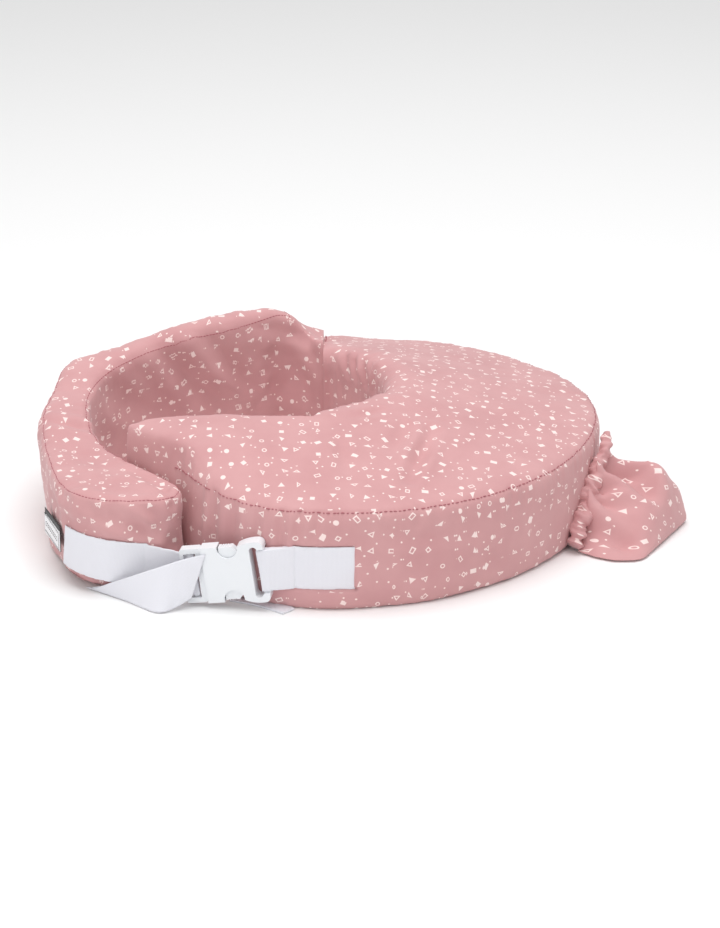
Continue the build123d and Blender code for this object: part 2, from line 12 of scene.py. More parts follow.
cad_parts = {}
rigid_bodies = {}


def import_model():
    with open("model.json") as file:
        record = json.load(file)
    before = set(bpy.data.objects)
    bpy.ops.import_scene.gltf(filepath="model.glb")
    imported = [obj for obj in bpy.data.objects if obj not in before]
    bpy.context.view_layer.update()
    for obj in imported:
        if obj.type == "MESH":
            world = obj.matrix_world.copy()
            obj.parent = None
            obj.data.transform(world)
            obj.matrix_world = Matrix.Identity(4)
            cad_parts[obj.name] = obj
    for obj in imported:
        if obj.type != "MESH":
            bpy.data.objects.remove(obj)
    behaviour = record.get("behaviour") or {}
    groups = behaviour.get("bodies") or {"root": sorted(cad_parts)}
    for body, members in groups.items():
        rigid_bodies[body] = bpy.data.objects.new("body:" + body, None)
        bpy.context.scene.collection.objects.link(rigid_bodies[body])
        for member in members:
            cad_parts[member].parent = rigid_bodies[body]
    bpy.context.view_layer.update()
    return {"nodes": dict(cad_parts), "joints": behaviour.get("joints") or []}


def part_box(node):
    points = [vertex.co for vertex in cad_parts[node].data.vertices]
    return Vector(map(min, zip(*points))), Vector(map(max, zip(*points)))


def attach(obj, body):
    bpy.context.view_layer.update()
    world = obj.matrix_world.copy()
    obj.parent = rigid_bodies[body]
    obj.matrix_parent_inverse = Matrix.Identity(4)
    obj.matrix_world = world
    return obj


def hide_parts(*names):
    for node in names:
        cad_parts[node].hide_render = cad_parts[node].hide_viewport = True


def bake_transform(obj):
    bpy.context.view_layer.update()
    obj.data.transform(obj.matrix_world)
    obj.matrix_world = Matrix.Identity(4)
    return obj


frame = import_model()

bl_info = {
    "name": "Nursing pillow",
    "version": (1, 0, 0),
    "blender": (4, 5, 0),
    "location": "View3D > Sidebar > Pillow",
    "description": "Builds the cover, strap, pocket and zip of a wrap-around nursing pillow",
    "category": "Add Mesh",
}

MM = 0.001
UV_NAME = "cloth_plan"
WELD = 0.00002  # vertices nearer than this are one
FOLD_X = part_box("far_arm_end_panel")[0].x  # the upright line where the backrest folds away
FOLD_Y = next(joint["pos_m"][1] for joint in frame["joints"] if joint["name"] == "backrest_swing")
FOLD_END = 0.014  # the cushions are made this much too long at the fold, and trimmed there
WAIST = Vector((-0.035, 0.012, 0))  # middle of the waist hole
TUBE_SIDES = 6
BAND_HEIGHT = 0.092


# ------------------------------------------------------------------ sizes and colours
class CushionSizes(bpy.types.PropertyGroup):
    """Sizes of the padded pieces."""

    table_voxel: bpy.props.FloatProperty(
        name="Table mesh size", description="Voxel of the table's cover", default=0.0046, unit="LENGTH"
    )
    back_voxel: bpy.props.FloatProperty(
        name="Backrest mesh size", description="Voxel of the backrest's cover", default=0.0036, unit="LENGTH"
    )
    cover_ease: bpy.props.FloatProperty(
        name="Cover over foam", description="Cloth and ease over the foam", default=0.0012, unit="LENGTH"
    )
    band_bulge: bpy.props.FloatProperty(
        name="Band bulge", description="How far the band swells between its seams", default=0.002, unit="LENGTH"
    )
    seam_depth: bpy.props.FloatProperty(
        name="Seam depth", description="How far a seam is pulled in", default=0.0016, unit="LENGTH"
    )
    pucker: bpy.props.FloatProperty(
        name="Pucker", description="Height of the gathers beside a seam", default=0.0013, unit="LENGTH"
    )


class ClothColours(bpy.types.PropertyGroup):
    """Colours of the cloth and trims."""

    cotton: bpy.props.FloatVectorProperty(
        name="Cotton", description="Ground colour of the cotton", subtype="COLOR", default=(0.645, 0.345, 0.350)
    )
    motif: bpy.props.FloatVectorProperty(
        name="Print", description="Colour of the printed shapes", subtype="COLOR", default=(0.93, 0.75, 0.72)
    )
    thread: bpy.props.FloatVectorProperty(
        name="Thread", description="Colour of the stitches", subtype="COLOR", default=(0.33, 0.10, 0.12)
    )
    webbing: bpy.props.FloatVectorProperty(
        name="Webbing", description="Colour of the strap", subtype="COLOR", default=(0.90, 0.90, 0.96)
    )
    buckle: bpy.props.FloatVectorProperty(
        name="Buckle", description="Colour of the buckle", subtype="COLOR", default=(0.85, 0.87, 0.90)
    )
    binding: bpy.props.FloatVectorProperty(
        name="Binding", description="Colour of the pocket's binding", subtype="COLOR", default=(0.62, 0.58, 0.56)
    )


# ------------------------------------------------------------------ small helpers
def clear_selection():
    for other in bpy.data.objects:
        other.select_set(False)


def pick_object(obj):
    clear_selection()
    obj.hide_viewport = False
    obj.select_set(True)
    bpy.context.view_layer.objects.active = obj


def apply_modifier(obj, kind, **settings):
    """Add one modifier with these settings, and apply it."""
    modifier = obj.modifiers.new(kind.lower(), kind)
    for name, given in settings.items():
        setattr(modifier, name, given)
    pick_object(obj)
    bpy.ops.object.modifier_apply(modifier=modifier.name)


def edit_all(obj, operator, **settings):
    """Run one edit-mode operator on the whole mesh."""
    pick_object(obj)
    bpy.ops.object.mode_set(mode="EDIT")
    bpy.ops.mesh.select_all(action="SELECT")
    operator(**settings)
    bpy.ops.object.mode_set(mode="OBJECT")


def face_outwards(obj):
    edit_all(obj, bpy.ops.mesh.normals_make_consistent, inside=False)


def new_object(name, vertices, faces):
    mesh = bpy.data.meshes.new(name)
    mesh.from_pydata([tuple(v) for v in vertices], [], [tuple(f) for f in faces])
    mesh.update()
    obj = bpy.data.objects.new(name, mesh)
    bpy.context.scene.collection.objects.link(obj)
    return obj


def soft_copy(name, node, voxel, grow=0.0, lengthen=0.0):
    """A copy of a node as one closed, even mesh, let out by grow; lengthen moves its end at the fold."""
    obj = bpy.data.objects.new(name, frame["nodes"][node].data.copy())
    bpy.context.scene.collection.objects.link(obj)
    obj.data.materials.clear()
    edit_all(obj, bpy.ops.mesh.remove_doubles, threshold=WELD)
    if lengthen:
        points, _ = read_points(obj)
        end = (np.abs(points[:, 0] - FOLD_X) < 2.5 * MM) & (points[:, 1] > 0.1)
        points[end, 0] += lengthen
        write_points(obj, points)
    apply_modifier(obj, "REMESH", mode="VOXEL", voxel_size=voxel)
    if grow:
        move_along_normals(obj, np.full(len(obj.data.vertices), grow))
    return obj


def keep_waist_clear(obj):
    """Ease the near arm's inner wall back to the edge of the room kept for the waist."""
    points, _ = read_points(obj)
    rear_end, front_start = -0.0449, -0.028  # along the arm, where the room for the waist narrows
    rear_side, front_side = -0.0785, -0.0365  # how far in the arm may reach beside each part of it
    edge = np.interp(points[:, 0], (rear_end, front_start), (rear_side, front_side))
    arm = (points[:, 1] < 0) & (points[:, 0] < 0.0015) & (points[:, 0] > -0.2095)
    ease = 0.0015
    softened = edge - ease * np.logaddexp(0, (edge - points[:, 1]) / ease)
    points[arm, 1] = softened[arm]
    write_points(obj, points)


def flatten_at_fold(obj):
    """Keep the cloth beside the fold from standing past it, where the backrest would press it into the table."""
    points, _ = read_points(obj)
    allowed = FOLD_Y - 0.0006 + 0.6 * np.abs(points[:, 0] - FOLD_X)
    outside = points[:, 1] > 0.2
    points[outside, 1] = np.minimum(points[outside, 1], allowed[outside])
    write_points(obj, points)


def cut_at_fold(obj, x, side):
    """Trim the lengthened end at the fold; side is 1 to keep what lies beyond x, -1 to keep the rest."""
    pick_object(obj)
    mesh = obj.data
    centres = read_faces(mesh, "center")
    near = (centres[:, 1] > 0.1) & (np.abs(centres[:, 0] - x) < 0.03)
    bpy.ops.object.mode_set(mode="EDIT")
    bpy.ops.mesh.select_all(action="DESELECT")
    bpy.ops.object.mode_set(mode="OBJECT")
    mesh.polygons.foreach_set("select", near)
    bpy.ops.object.mode_set(mode="EDIT")
    bpy.ops.mesh.select_mode(type="FACE")
    bpy.ops.mesh.bisect(plane_co=(x, 0, 0), plane_no=(side, 0, 0), use_fill=True, clear_inner=True)
    bpy.ops.object.mode_set(mode="OBJECT")


def swell(obj, spots):
    """Let the cloth out, or draw it in, round places on it: centre, reach and height in millimetres."""
    points, normals = read_points(obj)
    moved = np.zeros(len(points))
    for centre, reach, height in spots:
        away = np.linalg.norm(points - np.array(centre) * MM, axis=1) / (reach * MM)
        moved += height * MM * np.exp(-(away**2))
    points += normals * moved[:, None]
    points[:, 2] = np.maximum(points[:, 2], 0.0002)  # the base stays flat on the table
    write_points(obj, points)


def puff_out(obj, places):
    """Plump up part of a cushion: where, how far across and up it reaches, and how far the cloth moves there."""
    points, _ = read_points(obj)
    total, pushed = np.zeros(len(points)), np.zeros((len(points), 3))
    for centre, across, up, move in places:
        offset = points - np.array(centre) * MM
        away = (offset[:, 0] ** 2 + offset[:, 1] ** 2) / (across * MM) ** 2 + (offset[:, 2] / (up * MM)) ** 2
        weight = np.exp(-away)
        total += weight
        pushed += weight[:, None] * np.array(move) * MM
    write_points(obj, points + pushed / np.maximum(total, 1)[:, None])


def read_faces(mesh, field):
    """The centre or normal of every face, as rows of three."""
    found = np.zeros(len(mesh.polygons) * 3, np.float32)
    mesh.polygons.foreach_get(field, found)
    return found.reshape(-1, 3)


def read_points(obj):
    mesh = obj.data
    count = len(mesh.vertices)
    points = np.zeros(count * 3, np.float32)
    normals = np.zeros(count * 3, np.float32)
    mesh.vertices.foreach_get("co", points)
    mesh.vertex_normals.foreach_get("vector", normals)
    return points.reshape(-1, 3).astype(float), normals.reshape(-1, 3).astype(float)


def write_points(obj, points):
    obj.data.vertices.foreach_set("co", np.asarray(points, np.float32).ravel())
    obj.data.update()


def move_along_normals(obj, distance):
    points, normals = read_points(obj)
    write_points(obj, points + normals * distance[:, None])


def smooth_by_weight(obj, weights, rounds):
    """Relax the mesh where the weights are high."""
    group = obj.vertex_groups.new(name="relax")
    for index, weight in enumerate(weights):
        if weight > 0.01:
            group.add([index], min(1.0, float(weight)), "REPLACE")
    apply_modifier(obj, "SMOOTH", factor=0.5, iterations=rounds, vertex_group=group.name)
    obj.vertex_groups.remove(obj.vertex_groups["relax"])


def subdivide_smooth(obj):
    apply_modifier(obj, "SUBSURF", levels=1, render_levels=1)


def smooth_shading(obj):
    obj.data.polygons.foreach_set("use_smooth", [True] * len(obj.data.polygons))


def dress(obj, material):
    """Smooth shading and a material."""
    smooth_shading(obj)
    obj.data.materials.append(material)


def give_finish(nodes, material):
    """A new material on CAD nodes that stay."""
    for node in nodes:
        part = frame["nodes"][node]
        part.data.materials.clear()
        part.data.materials.append(material)


def line_samples(points, step=0.001, closed=False):
    """Even samples along a polyline, as an array, with their running length."""
    points = np.array([tuple(p) for p in points], float)
    if closed:
        points = np.vstack([points, points[:1]])
    lengths = np.r_[0, np.cumsum(np.linalg.norm(np.diff(points, axis=0), axis=1))]
    along = np.arange(0, lengths[-1], step)
    return np.stack([np.interp(along, lengths, points[:, axis]) for axis in range(3)], 1), along


def nearest(samples, points):
    """Index of the nearest sample for each point, and its distance."""
    tree = kdtree.KDTree(len(samples))
    for index, sample in enumerate(samples):
        tree.insert(sample, index)
    tree.balance()
    found = [tree.find(point) for point in points]
    return np.array([f[1] for f in found]), np.array([f[2] for f in found])


def node_mesh(node):
    mesh = bmesh.new()
    mesh.from_mesh(frame["nodes"][node].data)
    bmesh.ops.remove_doubles(mesh, verts=mesh.verts, dist=WELD)
    mesh.normal_update()
    return mesh


def edge_loops(node, keep):
    """Closed lines made of the edges that keep() picks on a node, longest first."""
    mesh = node_mesh(node)
    links = {}
    for edge in mesh.edges:
        if len(edge.link_faces) == 2 and keep(*[face.normal for face in edge.link_faces], edge):
            a, b = edge.verts
            links.setdefault(a.index, []).append(b.index)
            links.setdefault(b.index, []).append(a.index)
    mesh.verts.ensure_lookup_table()
    loops, seen = [], set()
    for start in sorted(links):
        if start in seen:
            continue
        loop, here = [start], start
        seen.add(start)
        while True:
            ahead = [v for v in links[here] if v not in seen]
            if not ahead:
                break
            here = ahead[0]
            seen.add(here)
            loop.append(here)
        loops.append([mesh.verts[index].co.copy() for index in loop])
    mesh.free()
    return sorted(loops, key=loop_length, reverse=True)


def loop_length(loop):
    return sum((loop[i] - loop[i - 1]).length for i in range(1, len(loop)))


def top_edge(a, b, edge):
    return (a.z > 0.72) != (b.z > 0.72) and min(a.z, b.z) > -0.3


def bottom_edge(a, b, edge):
    return (a.z < -0.9) != (b.z < -0.9)


def fractal(points, scale, seed, octaves=2):
    """Cloudy unevenness at points, roughly -1 to 1; scale is the size of a cloud in metres."""
    shift = Vector((seed * 7.3, seed * 3.1, seed * 1.7))
    return np.array([noise.fractal(Vector(p) / scale + shift, 0.6, 2.0, octaves) for p in points], float)


def wave_along(along, wavelength, seed):
    """Uneven ripples along a line, from -1 to 1."""
    return np.array([noise.noise(Vector((a / wavelength, seed * 5.7, 0.3))) for a in along]) * 1.8


def press_strokes(obj, strokes):
    """Valleys and ridges drawn on the cloth: start, end, half width and depth in millimetres."""
    points, normals = read_points(obj)
    moved = np.zeros(len(points))
    for start, end, width, depth in strokes:
        a, b = np.array(start) * MM, np.array(end) * MM
        run = b - a
        t = np.clip(((points - a) @ run) / max(run @ run, 1e-9), 0, 1)
        away = np.linalg.norm(points - (a + t[:, None] * run), axis=1) / (width * MM)
        fade = np.sin(np.pi * np.clip(t * 0.86 + 0.07, 0, 1)) ** 0.5
        profile = np.exp(-(away**2)) - 0.45 * np.exp(-((away - 1.9) ** 2) * 1.6)
        moved -= depth * MM * profile * fade
    write_points(obj, points + normals * moved[:, None])


def tuck_under(obj, nodes, reach=0.004, gap=0.0008, depth=0.012):
    """Press the cloth in where something lies on it; depth is how far inside the cloth the search starts."""
    points, normals = read_points(obj)
    moved = np.zeros(len(points))
    for node in nodes:
        mesh = node_mesh(node)
        tree = BVHTree.FromBMesh(mesh)
        mesh.free()
        low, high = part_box(node)
        pad = 0.006
        inside = np.all((points > np.array(low) - pad) & (points < np.array(high) + pad), axis=1)
        for index in np.nonzero(inside)[0]:
            start = Vector(points[index]) - Vector(normals[index]) * depth
            hit, _, _, distance = tree.ray_cast(start, Vector(normals[index]), depth + reach)
            if hit is not None:
                moved[index] = min(moved[index], distance - depth - gap)
    write_points(obj, points + normals * np.clip(moved, -0.006, 0)[:, None])


def set_cloth_uv(obj, outline):
    """Lay the print flat on level faces and round the outline on upright ones."""
    mesh = obj.data
    count = len(mesh.polygons)
    centres, normals = read_faces(mesh, "center"), read_faces(mesh, "normal")
    samples, along = line_samples([(p[0], p[1], 0) for p in outline], 0.002, closed=True)
    flat = centres.copy()
    flat[:, 2] = 0
    index, _ = nearest(samples, flat)
    ahead = samples[(index + 1) % len(samples)] - samples[index - 1]
    ahead /= np.linalg.norm(ahead, axis=1)[:, None]
    totals = np.zeros(count, np.int32)
    mesh.polygons.foreach_get("loop_total", totals)
    face = np.repeat(np.arange(count), totals)
    points = corner_points(obj)
    upright = np.abs(normals[face, 2]) < 0.62
    slide = ((points - centres[face]) * ahead[face]).sum(1)
    round_u = along[index[face]] + slide
    u = np.where(upright, round_u, points[:, 0])
    v = np.where(upright, points[:, 2] + 0.37, points[:, 1])
    write_uv(obj, u, v)


def corner_points(obj):
    """The place of every face corner."""
    corner = np.zeros(len(obj.data.loops), np.int32)
    obj.data.loops.foreach_get("vertex_index", corner)
    return read_points(obj)[0][corner]


def write_uv(obj, u, v):
    layers = obj.data.uv_layers
    layer = layers.get(UV_NAME) or layers.new(name=UV_NAME)
    layer.data.foreach_set("uv", np.stack([u, v], 1).astype(np.float32).ravel())


def flat_uv(obj, along, up=(0, 0, 1)):
    """Lay the weave along a direction."""
    points = corner_points(obj)
    write_uv(obj, points @ np.array(Vector(along).normalized()), points @ np.array(Vector(up).normalized()))


def stitch_row(name, line, on, length=2.7, gap=1.5, radius=0.5, sink=0.1):
    """Short stitches along a line, laid on a surface; sizes in millimetres."""
    surface = BVHTree.FromObject(on, bpy.context.evaluated_depsgraph_get())
    samples, along = line_samples(line, 0.0005)
    vertices, faces = [], []
    pitch = (length + gap) * MM
    sides = TUBE_SIDES
    for count in range(int(along[-1] / pitch)):
        ends = []
        for where in (count * pitch, count * pitch + length * MM):
            index = min(int(where / 0.0005), len(samples) - 1)
            place, normal, _, _ = surface.find_nearest(Vector(samples[index]))
            ends.append((place + normal * (radius * 0.5 - sink) * MM, normal))
        (a, up), (b, _) = ends
        run = (b - a).normalized()
        if run.length < 0.5:
            continue
        side = run.cross(up).normalized()
        up = side.cross(run)
        base = len(vertices)
        for t, size in ((0.0, 0.25), (0.16, 0.9), (0.5, 1.0), (0.84, 0.9), (1.0, 0.25)):
            lift = math.sin(math.pi * t) * 0.25 * MM
            for k in range(sides):
                turn = 2 * math.pi * k / sides
                spoke = (side * math.cos(turn) + up * math.sin(turn)) * radius * size * MM
                vertices.append(a.lerp(b, t) + up * lift + spoke)
        for ring in range(4):
            for k in range(sides):
                p, q = base + ring * sides + k, base + ring * sides + (k + 1) % sides
                faces.append((p, q, q + sides, p + sides))
        faces.append([base + k for k in reversed(range(sides))])
        faces.append([base + 4 * sides + k for k in range(sides)])
    obj = new_object(name, vertices, faces)
    dress(obj, thread_material())
    return obj


def tube_along(name, line, radius, sides):
    """A round tube along points; radius is a function of the running length and the turn."""
    vertices, faces = [], []
    last = len(line) - 1
    length = 0.0
    up = Vector((0, 0, 1))
    for i, point in enumerate(line):
        run = (line[min(i + 1, last)] - line[max(i - 1, 0)]).normalized()
        side = run.cross(up).normalized()
        over = side.cross(run)
        if i:
            length += (point - line[i - 1]).length
        for k in range(sides):
            turn = 2 * math.pi * k / sides
            vertices.append(point + (side * math.cos(turn) + over * math.sin(turn)) * radius(length, turn))
    for i in range(last):
        for k in range(sides):
            a, b = i * sides + k, i * sides + (k + 1) % sides
            faces.append((a, a + sides, b + sides, b))
    faces.append(list(range(sides)))
    faces.append([last * sides + k for k in reversed(range(sides))])
    return new_object(name, vertices, faces)


# ------------------------------------------------------------------ materials
def value(tree, operation, *inputs, clamp=False):
    node = tree.nodes.new("ShaderNodeMath")
    node.operation = operation
    node.use_clamp = clamp
    for socket, given in zip(node.inputs, inputs):
        if isinstance(given, (int, float)):
            socket.default_value = given
        else:
            tree.links.new(given, socket)
    return node.outputs[0]


def choose(tree, first, second, switch):
    """first where the switch is 0, second where it is 1."""
    return value(tree, "MULTIPLY_ADD", switch, value(tree, "SUBTRACT", second, first), first)


def start_material(name, roughness, sheen=0.0, colour=(0.8, 0.8, 0.8)):
    material = bpy.data.materials.get(name)
    if material:
        return material, None, None
    material = bpy.data.materials.new(name)
    material.use_nodes = True
    tree = material.node_tree
    shader = tree.nodes["Principled BSDF"]
    shader.inputs["Roughness"].default_value = roughness
    shader.inputs["Sheen Weight"].default_value = sheen
    shader.inputs["Base Color"].default_value = (*colour, 1)
    material.diffuse_color = (*colour, 1)
    return material, tree, shader


def mix_colour(tree, first, second, factor):
    node = tree.nodes.new("ShaderNodeMix")
    node.data_type = "RGBA"
    for socket, given in ((node.inputs[0], factor), (node.inputs[6], first), (node.inputs[7], second)):
        if isinstance(given, (int, float)):
            socket.default_value = given
        elif isinstance(given, tuple):
            socket.default_value = (*given, 1)
        else:
            tree.links.new(given, socket)
    return node.outputs[2]


def noise_value(tree, vector, scale, detail=2.0):
    node = tree.nodes.new("ShaderNodeTexNoise")
    node.inputs["Scale"].default_value = scale
    node.inputs["Detail"].default_value = detail
    tree.links.new(vector, node.inputs["Vector"])
    return node.outputs[0]


def object_place(tree):
    return tree.nodes.new("ShaderNodeTexCoord").outputs["Object"]


def uv_place(tree):
    node = tree.nodes.new("ShaderNodeUVMap")
    node.uv_map = UV_NAME
    return node.outputs[0]


def split(tree, vector):
    node = tree.nodes.new("ShaderNodeSeparateXYZ")
    tree.links.new(vector, node.inputs[0])
    return node.outputs


def far_from_middle(tree, x, y):
    """Distance from the middle of a cell."""
    return value(tree, "SQRT", value(tree, "ADD", value(tree, "MULTIPLY", x, x), value(tree, "MULTIPLY", y, y)))


def add_bump(tree, shader, height, distance, strength=1.0, before=None):
    node = tree.nodes.new("ShaderNodeBump")
    node.inputs["Distance"].default_value = distance
    node.inputs["Strength"].default_value = strength
    tree.links.new(height, node.inputs["Height"])
    if before:
        tree.links.new(before, node.inputs["Normal"])
    tree.links.new(node.outputs[0], shader.inputs["Normal"])
    return node.outputs[0]


def print_cell(tree, vector, cell, randomness, offset):
    """Voronoi cells for the print: place within the cell in millimetres, and three random numbers."""
    scaled = tree.nodes.new("ShaderNodeVectorMath")
    scaled.operation = "MULTIPLY_ADD"
    tree.links.new(vector, scaled.inputs[0])
    scaled.inputs[1].default_value = (1 / cell, 1 / cell, 0)
    scaled.inputs[2].default_value = (offset, offset * 0.7, 0)
    cells = tree.nodes.new("ShaderNodeTexVoronoi")
    cells.voronoi_dimensions = "2D"
    cells.inputs["Scale"].default_value = 1
    cells.inputs["Randomness"].default_value = randomness
    tree.links.new(scaled.outputs[0], cells.inputs["Vector"])
    local = tree.nodes.new("ShaderNodeVectorMath")
    local.operation = "SUBTRACT"
    tree.links.new(scaled.outputs[0], local.inputs[0])
    tree.links.new(cells.outputs["Position"], local.inputs[1])
    place = split(tree, local.outputs[0])
    chance = tree.nodes.new("ShaderNodeSeparateColor")
    tree.links.new(cells.outputs["Color"], chance.inputs[0])
    x = value(tree, "MULTIPLY", place[0], cell / MM)
    y = value(tree, "MULTIPLY", place[1], cell / MM)
    return x, y, chance.outputs


def scattered_shapes(tree, vector):
    """Mask of small rings, discs, squares, oblongs and triangles scattered over the cloth."""
    x0, y0, chance = print_cell(tree, vector, 0.0156, 0.62, 3.0)
    turn = value(tree, "MULTIPLY", chance[0], 2 * math.pi)
    cosine, sine = value(tree, "COSINE", turn), value(tree, "SINE", turn)
    x = value(tree, "SUBTRACT", value(tree, "MULTIPLY", x0, cosine), value(tree, "MULTIPLY", y0, sine))
    y = value(tree, "ADD", value(tree, "MULTIPLY", x0, sine), value(tree, "MULTIPLY", y0, cosine))
    wide, high = value(tree, "ABSOLUTE", x), value(tree, "ABSOLUTE", y)
    disc = value(tree, "SUBTRACT", far_from_middle(tree, x, y), 2.3)
    square = value(tree, "SUBTRACT", value(tree, "MAXIMUM", wide, high), 2.1)
    oblong = value(tree, "MAXIMUM", value(tree, "SUBTRACT", wide, 2.1), value(tree, "SUBTRACT", high, 3.0))
    slope = value(tree, "MULTIPLY_ADD", wide, 0.87, value(tree, "MULTIPLY", y, 0.5))
    even = value(tree, "SUBTRACT", value(tree, "MAXIMUM", slope, value(tree, "MULTIPLY", y, -1.0)), 1.8)
    corner = value(tree, "MAXIMUM", value(tree, "MULTIPLY", x, -1.0), value(tree, "MULTIPLY", y, -1.35))
    long_side = value(tree, "MULTIPLY", value(tree, "ADD", x, y), 0.71)
    right = value(tree, "SUBTRACT", value(tree, "MAXIMUM", corner, long_side), 1.7)
    shape = disc
    for other, above in ((square, 0.24), (oblong, 0.36), (even, 0.52), (right, 0.74)):
        shape = choose(tree, shape, other, value(tree, "GREATER_THAN", chance[1], above))
    outline = value(tree, "SUBTRACT", value(tree, "ABSOLUTE", value(tree, "ADD", shape, 0.55)), 0.48)
    drawn = choose(tree, shape, outline, value(tree, "GREATER_THAN", chance[2], 0.42))
    crisp = 2.6  # how sharply the print's edge turns, per millimetre
    mask = value(tree, "MULTIPLY_ADD", drawn, -crisp, 0.5, clamp=True)
    mask = value(tree, "MULTIPLY", mask, value(tree, "GREATER_THAN", chance[0], 0.12))
    dx, dy, dots = print_cell(tree, vector, 0.0120, 0.85, 11.0)
    away = far_from_middle(tree, dx, dy)
    dot = value(tree, "MULTIPLY_ADD", away, -crisp, 0.5 + crisp * 0.85, clamp=True)
    dot = value(tree, "MULTIPLY", dot, value(tree, "GREATER_THAN", dots[1], 0.35))
    dot = value(tree, "MULTIPLY", dot, value(tree, "GREATER_THAN", shape, 1.6))
    return value(tree, "MAXIMUM", mask, dot)


def cotton_material():
    """Rose cotton, softly uneven, with the white print and a fine weave."""
    colours = bpy.context.scene.pillow_colours
    material, tree, shader = start_material("rose_print_cloth", 0.82, 0.22, tuple(colours.cotton))
    if tree is None:
        return material
    place = object_place(tree)
    ground = tuple(colours.cotton)
    deeper = tuple(c * f for c, f in zip(ground, (0.90, 0.84, 0.85)))
    cloudy = noise_value(tree, place, 22, 3)
    colour = mix_colour(tree, deeper, ground, value(tree, "MULTIPLY_ADD", cloudy, 2.2, -0.55, clamp=True))
    colour = mix_colour(tree, colour, tuple(colours.motif), scattered_shapes(tree, uv_place(tree)))
    tree.links.new(colour, shader.inputs["Base Color"])
    shader.inputs["Sheen Roughness"].default_value = 0.5
    creases = noise_value(tree, place, 48, 3)
    first = add_bump(tree, shader, creases, 0.0022, 0.35)
    weave = noise_value(tree, place, 1300, 1)
    add_bump(tree, shader, weave, 0.0003, 0.25, first)
    return material


def thread_material():
    colours = bpy.context.scene.pillow_colours
    material, tree, shader = start_material("seam_thread", 0.7, 0.1, tuple(colours.thread))
    if tree is None:
        return material
    place = object_place(tree)
    strand = noise_value(tree, place, 2500, 1)
    thread = tuple(colours.thread)
    pale = tuple(min(1, c * 1.5) for c in thread)
    tree.links.new(mix_colour(tree, thread, pale, strand), shader.inputs["Base Color"])
    add_bump(tree, shader, strand, 0.0002, 0.4)
    return material


def webbing_material(name="strap_webbing", colour=None, pitch=0.0011):
    colours = bpy.context.scene.pillow_colours
    colour = tuple(colour or colours.webbing)
    material, tree, shader = start_material(name, 0.62, 0.15, colour)
    if tree is None:
        return material
    parts = split(tree, uv_place(tree))
    along = value(tree, "MULTIPLY", parts[0], 2 * math.pi / pitch)
    across = value(tree, "MULTIPLY", parts[1], 2 * math.pi / (pitch * 1.25))
    ribs = value(tree, "MULTIPLY", value(tree, "SINE", along), value(tree, "SINE", across))
    cords = value(tree, "MULTIPLY_ADD", value(tree, "SINE", along), 0.35, value(tree, "MULTIPLY", ribs, 0.65))
    height = value(tree, "MULTIPLY_ADD", cords, 0.5, 0.5)
    # painted shade: the low parts of the weave are painted darker, as the grooves between the cords would be
    # shaded
    groove_shade = tuple(c * 0.86 for c in colour)
    tree.links.new(mix_colour(tree, groove_shade, colour, height), shader.inputs["Base Color"])
    add_bump(tree, shader, height, 0.0005, 0.6)
    return material


def plastic_material():
    colours = bpy.context.scene.pillow_colours
    colour = tuple(colours.buckle)
    material, tree, shader = start_material("white_moulding", 0.32, 0.0, colour)
    if tree is None:
        return material
    shader.inputs["Subsurface Weight"].default_value = 0.08
    shader.inputs["Subsurface Radius"].default_value = (0.004, 0.004, 0.004)
    place = object_place(tree)
    grain = noise_value(tree, place, 900, 2)
    cloudy = noise_value(tree, place, 60, 2)
    tree.links.new(
        mix_colour(tree, tuple(c * 0.965 for c in colour), colour, cloudy), shader.inputs["Base Color"]
    )
    tree.links.new(value(tree, "MULTIPLY_ADD", grain, 0.12, 0.26), shader.inputs["Roughness"])
    add_bump(tree, shader, grain, 0.0001, 0.15)
    return material


def metal_material():
    material, tree, shader = start_material("plated_zip_metal", 0.35, 0.0, (0.62, 0.62, 0.63))
    if tree is None:
        return material
    shader.inputs["Metallic"].default_value = 1.0
    place = object_place(tree)
    worn = noise_value(tree, place, 400, 3)
    tree.links.new(mix_colour(tree, (0.5, 0.5, 0.5), (0.74, 0.74, 0.75), worn), shader.inputs["Base Color"])
    tree.links.new(value(tree, "MULTIPLY_ADD", worn, 0.2, 0.25), shader.inputs["Roughness"])
    return material


# ------------------------------------------------------------------ cushions
def relax_along(obj, line, closed, plateau, reach, rounds):
    """Round a cushion's edge: relax it along a line, fully near the line and less up to its reach."""
    samples, _ = line_samples(line, 0.002, closed)
    _, away = nearest(samples, read_points(obj)[0])
    smooth_by_weight(obj, np.clip(plateau - away / reach, 0, 1), rounds)


def relax_round(obj, centre, reach, plateau, rounds):
    """Round a corner of a cushion: relax it about a point, with its reach along each axis."""
    away = np.linalg.norm((read_points(obj)[0] - np.array(centre)) / reach, axis=1)
    smooth_by_weight(obj, np.clip(plateau - away, 0, 1), rounds)


def seam_pull(obj, line, closed, depth, pucker, seed, side_fall=0.018, top_fall=0.008, snap=0.0014):
    """Draw the cloth in along a seam, and gather it on both sides of the seam."""
    samples, along = line_samples(line, 0.001, closed)
    points, normals = read_points(obj)
    index, away = nearest(samples, points)
    near = away < snap
    points[near] = samples[index[near]]
    fine = wave_along(along, 0.0065, seed) + 0.5 * wave_along(along, 0.0032, seed + 1)
    strength = 0.45 + 0.9 * np.abs(wave_along(along, 0.06, seed + 2))
    ripple = (fine * strength)[index]
    fall = np.where(normals[:, 2] > 0.6, top_fall, side_fall)
    moved = -depth * np.exp(-((away / 0.0024) ** 2)) - 0.5 * depth * np.exp(-((away / 0.009) ** 2))
    rise = np.clip(away / 0.003, 0, 1)
    moved += pucker * ripple * rise * np.exp(-away / fall)
    write_points(obj, points + normals * moved[:, None])


